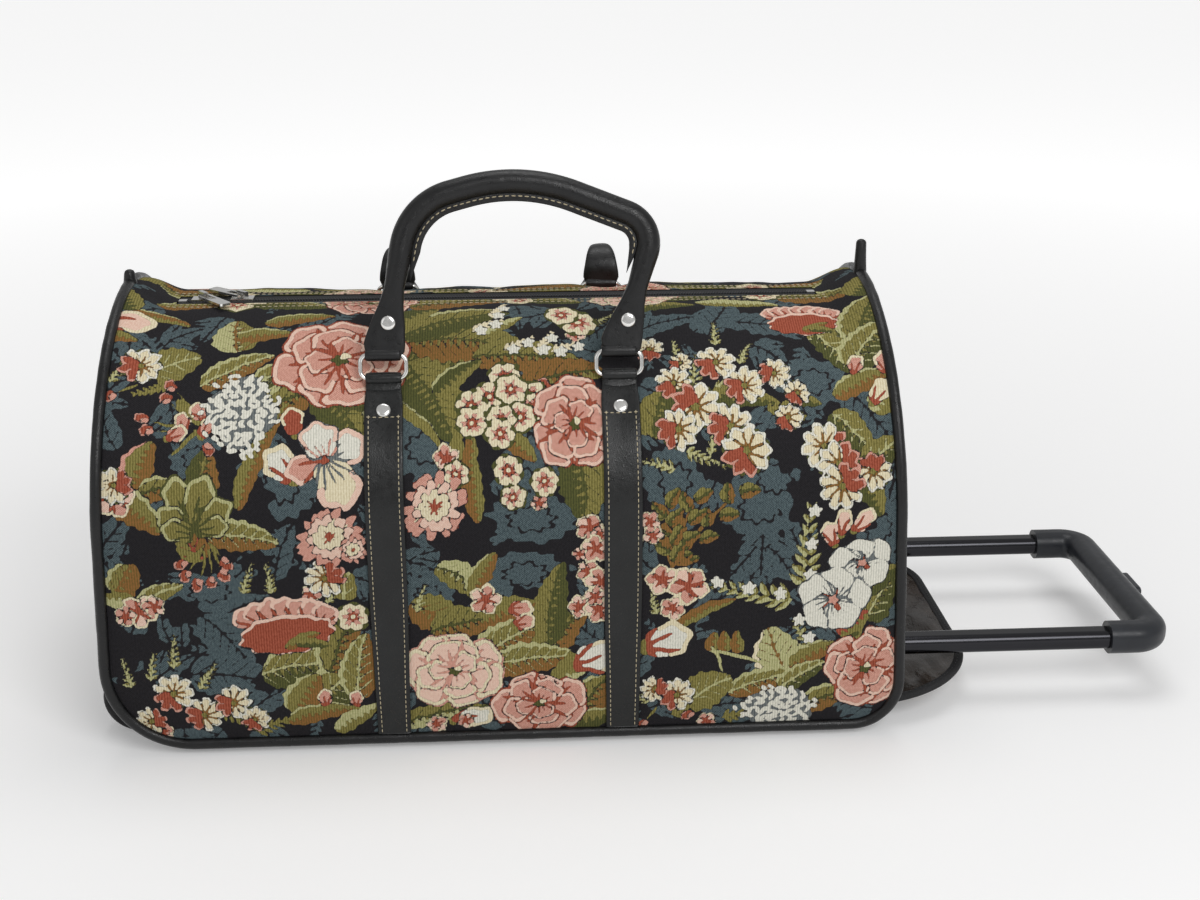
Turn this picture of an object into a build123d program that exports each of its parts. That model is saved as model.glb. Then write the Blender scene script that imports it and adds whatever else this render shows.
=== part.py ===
from build123d import *
import os
from math import atan2, cos, degrees, hypot, radians, sin, sqrt, tan

# Wheeled carpet bag with carry handles on rings and a pull handle that slides out of one end.
# X runs along the bag towards the pull handle, Y to the back, Z up from the floor.
# All lengths are in millimetres and all angles in degrees.

# Body of the bag
bag_length = 556
bag_width = 288
base_height = 8
top_middle = 290
end_rise = 13
arch_rise_share = 0.868
shoulder_share = 0.66
wall = 3
end_lean = 2.5
left_corner = 60
right_corner = 35
sag_start_inset = 46
sag_end_inset = 16
sag_step_shares = (0, 0.25, 0.5, 0.75, 1)
overlength = 40
left_split = 78
right_split = 46

# Piping and zip
piping_radius = 4
piping_gap = 5
left_tail_height = 10
right_tail_height = 25
zip_gap = 22
zip_inset = 46
tape_thickness = 1.2
tape_drop = 1.4
chain_width = 6
chain_height = 2.4
stop_length = 6
stop_height = 3.4
slider_length = 16
slider_width = 11
slider_wall = 1.6
slider_clearance = 0.35
left_slider_rest = 18
right_slider_rest = 46
bail_length = 9
bail_width = 3.2
bail_height = 4.8
bail_hole_length = 5
bail_hole_height = 3
left_pull_turn = -53
right_pull_turn = 139
pull_length = 34
pull_width = 9
pull_thickness = 1.6
pull_bar = 1.8
pull_slot_length = 14
pull_slot_width = 4.8
pull_corner = 2

# Straps, rings and carry handles
strap_width = 26
strap_thickness = 2.4
strap_spacing = 160
strap_start_gap = 0.3
loop_width = 19
ring_wire = 1.6
ring_width = 31
ring_height = 16
ring_corner = 5.5
ring_lean = 15
loop_clearance = 0.35
bar_stand_off = 6.2
bar_angle_share = 0.645
rivet_radius = 5
rivet_height = 1.8
rivet_round = 1.4
strap_rivet_share = 0.78
handle_lean = 13
roll_radius = 8.5
tab_width = 28
tab_neck = 13
tab_length = 46
tab_full_start = 8
tab_full_end = 11
tab_thickness = 5.4
tab_rivet_rise = 22
roll_start = 40
left_knee = (-60, 101)
crown_knee = (16, 121)
right_knee = (106, 86)
left_knee_radius = 45
crown_radius = 120
right_knee_radius = 22
droop_rise = 10
droop_bend = 14
droop_tail = 10
droop_knee_x = 50
droop_knee_gap = 10
droop_drop = 56
droop_knee_radius = 30

# Pull handle
tube_inset = 54
tube_height = 44
tube_width = 18
tube_depth = 14
tube_corner = 5.5
tube_wall = 1.4
tube_engagement = 171
tube_reach = 188
sleeve_wall = 1.5
sleeve_clearance = 0.5
sleeve_inset = 78
well_depth = 72
well_wall = 2
well_inset = 28
well_bottom = 18
well_top = 104
well_corner = 44
bush_flange = 3
bush_border = 5
bush_clearance = 0.3
clamp_length = 24
clamp_back = 6
clamp_overhang = 10
clamp_rise = 5
plug_length = 22
plug_head = 3
grip_lap = 20
grip_stand_off = 17
grip_width = 24
grip_depth = 23
grip_corner = 10
grip_bend = 16
button_length = 34
button_height = 11
button_proud = 5
button_depth = 12
button_corner = 4
button_floor = 4.2
button_clearance = 0.35
flap_inset = 12
flap_reach = 77
flap_corner = 72
flap_thickness = 3
flap_tilt = 6
flap_lap = 12
binding_width = 6
binding_thickness = 5

# Base, wheels and feet
board_thickness = 3
board_left_inset = 63
board_right_inset = 52
board_margin = 6
floor_height = 66
floor_gap = 1
wheel_radius = 26
wheel_width = 22
wheel_end_inset = 16
wheel_side_inset = 44
tyre_thickness = 7
tyre_round = 4
hub_boss_radius = 7
hub_boss_width = 25
axle_radius = 3
axle_clearance = 0.05
housing_wall = 2.5
housing_gap = 3
foot_end_inset = 66
foot_side_inset = 44
foot_radius = 14
foot_round = 2
screw_radius = 2.5
screw_head_radius = 4.5
screw_head_height = 2.5
screw_bite = 5

# Derived sizes
half_length = bag_length / 2
half_width = bag_width / 2
shoulder_radius = half_width * shoulder_share
side_height = top_middle - half_width * arch_rise_share
top_end = top_middle + end_rise
sag_start = half_length - sag_start_inset
sag_end = half_length - sag_end_inset
zip_length = bag_length - 2 * zip_inset
left_slider_x = left_slider_rest - zip_length / 2
right_slider_x = right_slider_rest - zip_length / 2
strap_x = strap_spacing / 2
tube_y = half_width - tube_inset
well_back = half_length - well_depth
well_half_width = half_width - well_inset
sleeve_start = sleeve_inset - half_length
tube_start = well_back - tube_engagement
tube_end = half_length + tube_reach
grip_start = tube_end - grip_lap
grip_bar_x = tube_end + grip_stand_off
flap_half_width = half_width - flap_inset
wheel_x = wheel_end_inset - half_length
wheel_y = half_width - wheel_side_inset
foot_x = half_length - foot_end_inset
foot_y = half_width - foot_side_inset
board_left = board_left_inset - half_length
board_right = half_length - board_right_inset
envelope_top = top_end + overlength
inner_base = base_height + wall
end_slope = tan(radians(end_lean))
housing_radius = wheel_radius + housing_gap + housing_wall
housing_width = wheel_width + 2 * (housing_gap + housing_wall)
loop_hole = ring_wire + loop_clearance
loop_radius = loop_hole + strap_thickness


def top_at(x):
    """Height of the sagging top at a place along the bag."""
    share = min(max((abs(x) - sag_start) / (sag_end - sag_start), 0), 1)
    return top_middle + (top_end - top_middle) * share * share * (3 - 2 * share)


def arch(inset, top):
    """Side, shoulder and joint points of the round top, and the radius of its crown."""
    radius = shoulder_radius - inset
    reach = half_width - shoulder_radius
    rise = top - side_height
    crown = (reach**2 + rise**2 - shoulder_radius**2) / (2 * (rise - shoulder_radius))
    turn = atan2(side_height - top + crown, reach)
    side = (inset - half_width, side_height)
    bend = (-reach - radius * cos(turn / 2), side_height + radius * sin(turn / 2))
    join = (-reach - radius * cos(turn), side_height + radius * sin(turn))
    return side, bend, join, crown - inset


def crown_point(inset, top, angle):
    """Front point of the crown at an angle from straight up."""
    crown = arch(inset, top)[3]
    return -crown * sin(radians(angle)), top - inset - crown * (1 - cos(radians(angle)))


def body_section(x, inset):
    """Closed cross-section of the bag at a place along it."""
    top = top_at(x)
    side, bend, join, _ = arch(inset, top)
    bottom = base_height - overlength
    with BuildSketch(Plane.YZ.offset(x)) as section:
        with BuildLine():
            Line((side[0], bottom), side)
            ThreePointArc(side, bend, join)
            ThreePointArc(join, (0, top - inset), (-join[0], join[1]))
            ThreePointArc((-join[0], join[1]), (-bend[0], bend[1]), (-side[0], side[1]))
            Line((-side[0], side[1]), (-side[0], bottom))
            Line((-side[0], bottom), (side[0], bottom))
        make_face()
    return section.sketch


def side_view(inset, plane):
    """Side view of the bag on a plane, with leaning ends and rounded lower corners."""
    low = base_height + inset
    end = half_length - inset
    lean = (envelope_top - low) * end_slope
    with BuildSketch(plane) as view:
        with BuildLine():
            FilletPolyline(
                (lean - end, envelope_top),
                (-end, low),
                (end, low),
                (end - lean, envelope_top),
                radius=(left_corner - inset, right_corner - inset),
            )
            Line((end - lean, envelope_top), (lean - end, envelope_top))
        make_face()
    return view.sketch


def tube_outline(plane, grow):
    """Outline of the pull handle's tubes on a plane, grown by a clearance or a wall."""
    with BuildSketch(plane) as outline:
        with Locations((-tube_y, tube_height), (tube_y, tube_height)):
            RectangleRounded(tube_width + 2 * grow, tube_depth + 2 * grow, tube_corner + grow)
    return outline.sketch


sag_places = [sag_start + (sag_end - sag_start) * share for share in sag_step_shares]
stations = [-half_length - overlength]
stations += [-place for place in reversed(sag_places)]
stations += sag_places
stations += [half_length + overlength]

# Solids that the panels are cut from
with BuildPart() as outer_form:
    for station in stations:
        add(body_section(station, 0))
    loft(ruled=True)

with BuildPart() as inner_form:
    for station in stations:
        add(body_section(station, wall))
    loft(ruled=True)

# Piping along the edges of the front and back panels
lean_length = hypot(1, end_slope)
left_end_plane = Plane(
    origin=(-half_length, 0, base_height), x_dir=(0, 1, 0), z_dir=(1, 0, -end_slope)
)
right_end_plane = Plane(
    origin=(half_length, 0, base_height), x_dir=(0, 1, 0), z_dir=(1, 0, end_slope)
)


def end_arch(plane, hand):
    """Edge of an end panel from the side up to the middle of the top, on one hand of the bag."""
    side, bend, join, crown = arch(0, top_end)
    peak_drop = crown - sqrt(crown**2 - piping_gap**2)
    turn = (atan2(-join[0], join[1] - top_end + crown) + piping_gap / crown) / 2
    middle = (-crown * sin(turn), top_end - crown + crown * cos(turn))
    points = [side, bend, join, middle, (-piping_gap, top_end - peak_drop)]
    spots = [(-hand * y, z - base_height) for y, z in points]
    with BuildLine(plane) as edge:
        ThreePointArc(spots[0], spots[1], spots[2])
        ThreePointArc(spots[2], spots[3], spots[4])
    return edge.line


def skirt(hand):
    """Lower edge of a panel, from side to side round both lower corners."""
    rise = (side_height - base_height) / lean_length
    shift = rise * end_slope
    with BuildLine(Plane.XZ.offset(-hand * half_width)) as edge:
        FilletPolyline(
            (shift - half_length, base_height + rise),
            (-half_length, base_height),
            (half_length, base_height),
            (half_length - shift, base_height + rise),
            radius=(left_corner, right_corner),
        )
    return edge.line


with BuildLine() as front_edge:
    add(end_arch(left_end_plane, -1))
    add(skirt(-1))
    add(end_arch(right_end_plane, -1))

with BuildPart() as front_piping:
    with BuildSketch(Plane(front_edge.wire() ^ 0)):
        Circle(piping_radius)
    sweep(path=front_edge.wire())

with BuildPart() as back_piping:
    mirror(front_piping.part, about=Plane.XZ)

# The two pipings end side by side at the middle of each end, in a short upright tail
tail_rise = top_end - base_height
tail_x = half_length - tail_rise * end_slope
with BuildPart() as piping_tails:
    for tail_place, tail_height in ((-tail_x, left_tail_height), (tail_x, right_tail_height)):
        with BuildSketch(Plane.XY.offset(top_end)):
            with Locations((tail_place, 0)):
                Circle(piping_radius)
        extrude(amount=tail_height)
        fillet(piping_tails.faces().sort_by(Axis.Z)[-1].edges(), radius=piping_radius / 2)

# Wheel housings, let into the lower corners of the left end
with BuildPart() as front_housing:
    with BuildSketch(Plane.XZ.offset(wheel_y)):
        with Locations((wheel_x, wheel_radius)):
            Circle(housing_radius)
    extrude(amount=housing_width / 2, both=True)
    extrude(side_view(0, Plane.XZ), amount=half_width, both=True, mode=Mode.INTERSECT)
    housing_block = front_housing.part
    with BuildSketch(Plane.XZ.offset(wheel_y)):
        with Locations((wheel_x, wheel_radius)):
            Circle(wheel_radius + housing_gap)
    extrude(amount=wheel_width / 2 + housing_gap, both=True, mode=Mode.SUBTRACT)
    with BuildSketch(Plane.XZ.offset(wheel_y)):
        with Locations((wheel_x, wheel_radius)):
            Circle(axle_radius)
    extrude(amount=housing_width / 2, both=True, mode=Mode.SUBTRACT)

with BuildPart() as back_housing:
    mirror(front_housing.part, about=Plane.XZ)


def well_view(inset, plane):
    """Outline of the handle well on a plane across the bag."""
    side = well_half_width - inset
    with BuildSketch(plane) as view:
        with BuildLine():
            FilletPolyline(
                (-side, well_bottom + inset),
                (-side, well_top - inset),
                (side, well_top - inset),
                (side, well_bottom + inset),
                radius=well_corner - inset,
            )
            Line((side, well_bottom + inset), (-side, well_bottom + inset))
        make_face()
    return view.sketch


# Handle well behind the right end, with a mouth that follows the end panel
with BuildPart() as handle_well:
    extrude(well_view(0, Plane.YZ.offset(well_back)), amount=bag_length)
    extrude(
        well_view(well_wall, Plane.YZ.offset(well_back + well_wall)),
        amount=bag_length,
        mode=Mode.SUBTRACT,
    )
    extrude(
        tube_outline(Plane.YZ.offset(well_back), sleeve_wall),
        amount=well_wall,
        mode=Mode.SUBTRACT,
    )
    extrude(side_view(wall, Plane.XZ), amount=half_width, both=True, mode=Mode.INTERSECT)

# Front and back panels, with a slot for the zip between them
with BuildPart() as zip_slot:
    with BuildSketch(Plane.XY.offset(side_height)):
        Rectangle(zip_length, zip_gap)
    extrude(amount=top_end)

with BuildPart() as front_panel:
    add(outer_form.part)
    add(inner_form.part, mode=Mode.SUBTRACT)
    extrude(side_view(0, Plane.XZ), amount=bag_width, mode=Mode.INTERSECT)
    add(zip_slot.part, mode=Mode.SUBTRACT)
    add(front_piping.part, mode=Mode.SUBTRACT)
    add(piping_tails.part, mode=Mode.SUBTRACT)

with BuildPart() as back_panel:
    mirror(front_panel.part, about=Plane.XZ)


def gusset(left, right, low, high):
    """Piece of the strip that runs round the ends and the base, between two heights."""
    with BuildSketch(Plane.XZ) as strip:
        add(side_view(0, Plane.XZ))
        add(side_view(wall, Plane.XZ), mode=Mode.SUBTRACT)
        with Locations(((left + right) / 2, (low + high) / 2)):
            Rectangle(right - left, high - low, mode=Mode.INTERSECT)
    return strip.sketch


with BuildPart() as left_end_panel:
    extrude(gusset(-bag_length, 0, left_split, envelope_top), amount=half_width, both=True)
    add(inner_form.part, mode=Mode.INTERSECT)
    add(front_piping.part, mode=Mode.SUBTRACT)
    add(back_piping.part, mode=Mode.SUBTRACT)

with BuildPart() as right_end_panel:
    extrude(gusset(0, bag_length, right_split, envelope_top), amount=half_width, both=True)
    add(inner_form.part, mode=Mode.INTERSECT)
    add(front_piping.part, mode=Mode.SUBTRACT)
    add(back_piping.part, mode=Mode.SUBTRACT)
    extrude(
        well_view(well_wall, Plane.YZ.offset(well_back)), amount=bag_length, mode=Mode.SUBTRACT
    )

# Screws that hold the feet, through the board and the base panel
with BuildPart() as foot_screws:
    with BuildSketch(Plane.XY.offset(base_height - screw_bite)):
        with Locations((foot_x, -foot_y), (foot_x, foot_y)):
            Circle(screw_radius)
    extrude(amount=screw_bite + wall + board_thickness)
    with BuildSketch(Plane.XY.offset(inner_base + board_thickness)):
        with Locations((foot_x, -foot_y), (foot_x, foot_y)):
            Circle(screw_head_radius)
    extrude(amount=screw_head_height)

with BuildPart() as base_panel:
    extrude(gusset(-bag_length, 0, 0, left_split), amount=half_width, both=True)
    extrude(gusset(0, bag_length, 0, right_split), amount=half_width, both=True)
    add(inner_form.part, mode=Mode.INTERSECT)
    add(front_piping.part, mode=Mode.SUBTRACT)
    add(back_piping.part, mode=Mode.SUBTRACT)
    add(housing_block, mode=Mode.SUBTRACT)
    add(mirror(housing_block, about=Plane.XZ, mode=Mode.PRIVATE), mode=Mode.SUBTRACT)
    extrude(
        well_view(well_wall, Plane.YZ.offset(well_back)), amount=bag_length, mode=Mode.SUBTRACT
    )
    add(foot_screws.part, mode=Mode.SUBTRACT)

with BuildPart() as feet:
    with BuildSketch():
        with Locations((foot_x, -foot_y), (foot_x, foot_y)):
            Circle(foot_radius)
    extrude(amount=base_height)
    fillet(feet.faces().group_by(Axis.Z)[0].edges(), radius=foot_round)
    add(foot_screws.part, mode=Mode.SUBTRACT)

# Boards inside the base
inner_half_width = half_width - wall
with BuildPart() as base_board:
    with BuildSketch(Plane.XY.offset(inner_base)):
        with Locations(((board_left + board_right) / 2, 0)):
            Rectangle(board_right - board_left, 2 * (inner_half_width - board_margin))
    extrude(amount=board_thickness)
    add(foot_screws.part, mode=Mode.SUBTRACT)

floor_rise = floor_height + board_thickness - inner_base
floor_left = wall + floor_rise * end_slope + floor_gap - half_length
floor_right = well_back - floor_gap
with BuildPart() as floor_board:
    with BuildSketch(Plane.XY.offset(floor_height)):
        with Locations(((floor_left + floor_right) / 2, 0)):
            Rectangle(floor_right - floor_left, 2 * inner_half_width)
    extrude(amount=board_thickness)

# Wheels: a hub and a tyre on each axle
with BuildPart() as front_axle:
    with BuildSketch(Plane.XZ.offset(wheel_y)):
        with Locations((wheel_x, wheel_radius)):
            Circle(axle_radius)
    extrude(amount=housing_width / 2, both=True)

rim_radius = wheel_radius - tyre_thickness
with BuildPart() as front_hub:
    with BuildSketch(Plane.XZ.offset(wheel_y)):
        with Locations((wheel_x, wheel_radius)):
            Circle(rim_radius)
    extrude(amount=wheel_width / 2, both=True)
    with BuildSketch(Plane.XZ.offset(wheel_y)):
        with Locations((wheel_x, wheel_radius)):
            Circle(hub_boss_radius)
    extrude(amount=hub_boss_width / 2, both=True)
    with BuildSketch(Plane.XZ.offset(wheel_y)):
        with Locations((wheel_x, wheel_radius)):
            Circle(axle_radius + axle_clearance)
    extrude(amount=hub_boss_width / 2, both=True, mode=Mode.SUBTRACT)

with BuildPart() as front_tyre:
    with BuildSketch(Plane.XZ.offset(wheel_y)):
        with Locations((wheel_x, wheel_radius)):
            Circle(wheel_radius)
    extrude(amount=wheel_width / 2, both=True)
    fillet(front_tyre.faces().filter_by(GeomType.PLANE).edges(), radius=tyre_round)
    with BuildSketch(Plane.XZ.offset(wheel_y)):
        with Locations((wheel_x, wheel_radius)):
            Circle(rim_radius)
    extrude(amount=wheel_width / 2, both=True, mode=Mode.SUBTRACT)

with BuildPart() as back_axle:
    mirror(front_axle.part, about=Plane.XZ)

with BuildPart() as back_hub:
    mirror(front_hub.part, about=Plane.XZ)

with BuildPart() as back_tyre:
    mirror(front_tyre.part, about=Plane.XZ)

# Zip: two tapes, a chain between them and a stop at each end
tape_top = top_middle - tape_drop
tape_bottom = tape_top - tape_thickness
tape_width = (zip_gap - chain_width) / 2
with BuildPart() as front_tape:
    with BuildSketch(Plane.XY.offset(tape_bottom)):
        with Locations((0, -(zip_gap - tape_width) / 2)):
            Rectangle(zip_length, tape_width)
    extrude(amount=tape_thickness)

with BuildPart() as back_tape:
    mirror(front_tape.part, about=Plane.XZ)

chain_bottom = (tape_top + tape_bottom - chain_height) / 2
chain_top = chain_bottom + chain_height
with BuildPart() as zip_chain:
    with BuildSketch(Plane.XY.offset(chain_bottom)):
        Rectangle(zip_length - 2 * stop_length, chain_width)
    extrude(amount=chain_height)

with BuildPart() as zip_stops:
    with BuildSketch(Plane.XY.offset((chain_top + chain_bottom - stop_height) / 2)):
        with Locations(((stop_length - zip_length) / 2, 0), ((zip_length - stop_length) / 2, 0)):
            Rectangle(stop_length, chain_width)
    extrude(amount=stop_height)


# Sliders, each with a bail that its pull hangs from
plate_bottom = chain_top + slider_clearance
plate_top = plate_bottom + slider_wall
lip_width = (slider_width - chain_width) / 2 - slider_clearance
lip_y = (slider_width - lip_width) / 2
lip_bottom = tape_top + slider_clearance
pull_level = plate_top + bail_hole_height / 2


def bail_plane(x, turn):
    """Upright plane along a pull, through the middle of its slider."""
    along = (cos(radians(turn)), sin(radians(turn)), 0)
    across = (sin(radians(turn)), -cos(radians(turn)), 0)
    return Plane(origin=(x, 0, plate_top), x_dir=along, z_dir=across)


def pull_plane(x, turn):
    """Flat plane of a pull, with its first axis along the pull."""
    along = (cos(radians(turn)), sin(radians(turn)), 0)
    return Plane(origin=(x, 0, pull_level), x_dir=along, z_dir=(0, 0, 1))


def slider_body(x, turn):
    """Slider with lips beside the chain and a bail turned towards its pull."""
    with BuildPart() as body:
        with BuildSketch(Plane.XY.offset(plate_bottom)):
            with Locations((x, 0)):
                Rectangle(slider_length, slider_width)
        extrude(amount=slider_wall)
        with BuildSketch(Plane.XY.offset(lip_bottom)):
            with Locations((x, -lip_y), (x, lip_y)):
                Rectangle(slider_length, lip_width)
        extrude(amount=plate_bottom - lip_bottom)
        with BuildSketch(bail_plane(x, turn)):
            Rectangle(bail_length, bail_height, align=(Align.CENTER, Align.MIN))
            Rectangle(
                bail_hole_length,
                bail_hole_height,
                align=(Align.CENTER, Align.MIN),
                mode=Mode.SUBTRACT,
            )
        extrude(amount=bail_width / 2, both=True)
    return body.part


def pull_body(x, turn):
    """Flat pull with a slot at the end that goes round the bail."""
    with BuildPart() as body:
        with BuildSketch(pull_plane(x, turn)):
            with Locations(((pull_length - pull_bar) / 2, 0)):
                RectangleRounded(pull_length, pull_width, pull_corner)
            with Locations(((pull_slot_length + pull_bar) / 2, 0)):
                Rectangle(pull_slot_length, pull_slot_width, mode=Mode.SUBTRACT)
        extrude(amount=pull_thickness / 2, both=True)
    return body.part


with BuildPart() as left_slider:
    add(slider_body(left_slider_x, left_pull_turn))

with BuildPart() as left_pull:
    add(pull_body(left_slider_x, left_pull_turn))

with BuildPart() as right_slider:
    add(slider_body(right_slider_x, right_pull_turn))

with BuildPart() as right_pull:
    add(pull_body(right_slider_x, right_pull_turn))

# Straps up the front and back, ending in loops for the rings
crown_drop = side_height - top_middle + arch(0, top_middle)[3]
crown_span = degrees(atan2(half_width - shoulder_radius, crown_drop))
bar_angle = bar_angle_share * crown_span
strap_rivet_angle = strap_rivet_share * crown_span
bar_y, bar_z = crown_point(-bar_stand_off, top_middle, bar_angle)
under_side, under_bend, under_join, _ = arch(0, top_middle)
over_side, over_bend, over_join, _ = arch(-strap_thickness, top_middle)
joint_angle = (bar_angle + strap_rivet_angle) / 2
strap_bottom = base_height + piping_radius + strap_start_gap

with BuildPart() as front_left_strap:
    with BuildSketch(Plane.YZ.offset(-strap_x)):
        with BuildLine():
            Line((under_side[0], strap_bottom), under_side)
            ThreePointArc(under_side, under_bend, under_join)
            ThreePointArc(
                under_join,
                crown_point(0, top_middle, joint_angle),
                crown_point(0, top_middle, bar_angle),
            )
            Line(
                crown_point(0, top_middle, bar_angle),
                crown_point(-strap_thickness, top_middle, bar_angle),
            )
            ThreePointArc(
                crown_point(-strap_thickness, top_middle, bar_angle),
                crown_point(-strap_thickness, top_middle, joint_angle),
                over_join,
            )
            ThreePointArc(over_join, over_bend, over_side)
            Line(over_side, (over_side[0], strap_bottom))
            Line((over_side[0], strap_bottom), (under_side[0], strap_bottom))
        make_face()
    extrude(amount=strap_width / 2, both=True)
    with BuildSketch(Plane.YZ.offset(-strap_x)):
        with Locations((bar_y, bar_z)):
            Circle(loop_radius)
    extrude(amount=loop_width / 2, both=True)
    with BuildSketch(Plane.YZ.offset(-strap_x)):
        with Locations((bar_y, bar_z)):
            Circle(loop_hole)
    extrude(amount=strap_width, both=True, mode=Mode.SUBTRACT)

with BuildPart() as front_right_strap:
    mirror(front_left_strap.part, about=Plane.YZ)

with BuildPart() as back_left_strap:
    mirror(front_left_strap.part, about=Plane.XZ)

with BuildPart() as back_right_strap:
    mirror(front_right_strap.part, about=Plane.XZ)

# Domed rivets through the straps
rivet_y, rivet_z = crown_point(-strap_thickness, top_middle, strap_rivet_angle)
rivet_normal = (0, -sin(radians(strap_rivet_angle)), cos(radians(strap_rivet_angle)))
with BuildPart() as front_strap_rivets:
    with BuildSketch(Plane((0, rivet_y, rivet_z), x_dir=(1, 0, 0), z_dir=rivet_normal)):
        with Locations((-strap_x, 0), (strap_x, 0)):
            Circle(rivet_radius)
    extrude(amount=rivet_height)
    fillet(front_strap_rivets.edges().sort_by(Axis.Z)[-2:], radius=rivet_round)

with BuildPart() as back_strap_rivets:
    mirror(front_strap_rivets.part, about=Plane.XZ)

# Rings, hung by one bar in the strap loops, with the handles on the other bar
ring_up = (0, sin(radians(ring_lean)), cos(radians(ring_lean)))
ring_out = (0, -cos(radians(ring_lean)), sin(radians(ring_lean)))
ring_plane = Plane((0, bar_y, bar_z), x_dir=(1, 0, 0), z_dir=ring_out)


def ring_body(x):
    """Wire ring standing on its lower bar."""
    with BuildSketch(ring_plane) as ring_shape:
        with Locations((x, 0)):
            RectangleRounded(
                ring_width, ring_height, ring_corner, align=(Align.CENTER, Align.MIN)
            )
    ring_path = ring_shape.sketch.faces()[0].outer_wire()
    with BuildPart() as ring:
        with BuildSketch(Plane(ring_path ^ 0)):
            Circle(ring_wire)
        sweep(path=ring_path)
    return ring.part


with BuildPart() as front_rings:
    add(ring_body(-strap_x))
    add(ring_body(strap_x))

with BuildPart() as back_rings:
    mirror(front_rings.part, about=Plane.XZ)

# Front handle, standing up: a rolled arch between two flat tabs
pin_y = bar_y + ring_height * ring_up[1]
pin_z = bar_z + ring_height * ring_up[2]
handle_out = (0, -cos(radians(handle_lean)), sin(radians(handle_lean)))
handle_plane = Plane((0, pin_y, pin_z), x_dir=(1, 0, 0), z_dir=handle_out)


def leg_point(foot_x_place, knee, rise, aside):
    """Point beside the straight leg from a ring to a knee of the arch."""
    length = hypot(knee[0] - foot_x_place, knee[1])
    along = ((knee[0] - foot_x_place) / length, knee[1] / length)
    return foot_x_place + along[0] * rise + along[1] * aside, along[1] * rise - along[0] * aside


def tab_shape(foot_x_place, knee):
    """Outline of the flat tab at one end of the front handle."""
    widths = [
        (0, loop_width / 2),
        (loop_radius, loop_width / 2),
        (tab_full_start, tab_width / 2),
        (tab_full_end, tab_width / 2),
        (tab_length, tab_neck / 2),
    ]
    rising = [leg_point(foot_x_place, knee, rise, aside) for rise, aside in widths]
    falling = [leg_point(foot_x_place, knee, rise, -aside) for rise, aside in reversed(widths)]
    return rising + falling


with BuildPart() as front_handle:
    with BuildLine(handle_plane) as front_arch:
        FilletPolyline(
            leg_point(-strap_x, left_knee, roll_start, 0),
            left_knee,
            crown_knee,
            right_knee,
            leg_point(strap_x, right_knee, roll_start, 0),
            radius=(left_knee_radius, crown_radius, right_knee_radius),
        )
    with BuildSketch(Plane(front_arch.wire() ^ 0)):
        Circle(roll_radius)
    sweep(path=front_arch.wire())
    with BuildSketch(handle_plane):
        with BuildLine():
            Polyline(*tab_shape(-strap_x, left_knee), close=True)
        make_face()
        with BuildLine():
            Polyline(*tab_shape(strap_x, right_knee), close=True)
        make_face()
    extrude(amount=tab_thickness / 2, both=True)
    with BuildSketch(Plane.YZ):
        with Locations((pin_y, pin_z)):
            Circle(loop_radius)
    extrude(amount=strap_x + loop_width / 2, both=True)
    with BuildSketch(Plane.YZ):
        with Locations((pin_y, pin_z)):
            Circle(loop_radius)
    extrude(amount=strap_x - loop_width / 2, both=True, mode=Mode.SUBTRACT)
    with BuildSketch(Plane.YZ):
        with Locations((pin_y, pin_z)):
            Circle(loop_hole)
    extrude(amount=strap_spacing, both=True, mode=Mode.SUBTRACT)

with BuildPart() as front_handle_rivets:
    with BuildSketch(handle_plane.offset(tab_thickness / 2)):
        with Locations(
            leg_point(-strap_x, left_knee, tab_rivet_rise, 0),
            leg_point(strap_x, right_knee, tab_rivet_rise, 0),
        ):
            Circle(rivet_radius)
    extrude(amount=rivet_height)
    fillet(
        front_handle_rivets.faces().sort_by(Axis.Y)[:2].edges(), radius=rivet_round
    )

# Back handle, fallen outwards: tabs that fold over the rings and a rolled arch hanging down
fold_y = -pin_y + droop_bend
fold_z = pin_z + droop_rise
hang_y = fold_y + droop_bend
hang_z = fold_z - droop_tail
droop_knee_y = half_width + droop_knee_gap
droop_knee_z = hang_z - droop_drop
with BuildPart() as back_handle:
    with BuildSketch(Plane.YZ.offset(-strap_x)):
        with Locations((fold_y, fold_z)):
            Circle(droop_bend + tab_thickness / 2)
            Circle(droop_bend - tab_thickness / 2, mode=Mode.SUBTRACT)
        with Locations((fold_y, fold_z)):
            Rectangle(
                bag_width, bag_width, align=(Align.CENTER, Align.MAX), mode=Mode.SUBTRACT
            )
        with Locations((-pin_y, fold_z)):
            Rectangle(tab_thickness, droop_rise, align=(Align.CENTER, Align.MAX))
        with Locations((hang_y, fold_z)):
            Rectangle(tab_thickness, 2 * droop_tail, align=(Align.CENTER, Align.MAX))
        with Locations((-pin_y, pin_z)):
            Circle(loop_radius)
            Circle(loop_hole, mode=Mode.SUBTRACT)
    extrude(amount=loop_width / 2, both=True)
    mirror(about=Plane.YZ)
    with BuildLine() as back_arch:
        FilletPolyline(
            (-strap_x, hang_y, hang_z),
            (-droop_knee_x, droop_knee_y, droop_knee_z),
            (droop_knee_x, droop_knee_y, droop_knee_z),
            (strap_x, hang_y, hang_z),
            radius=droop_knee_radius,
        )
    with BuildSketch(Plane(back_arch.wire() ^ 0)):
        Circle(roll_radius)
    sweep(path=back_arch.wire())

with BuildPart() as back_handle_rivets:
    with BuildSketch(Plane.XZ.offset(-hang_y - tab_thickness / 2)):
        with Locations((-strap_x, fold_z), (strap_x, fold_z)):
            Circle(rivet_radius)
    extrude(amount=-rivet_height)
    fillet(back_handle_rivets.faces().sort_by(Axis.Y)[-2:].edges(), radius=rivet_round)


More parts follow.
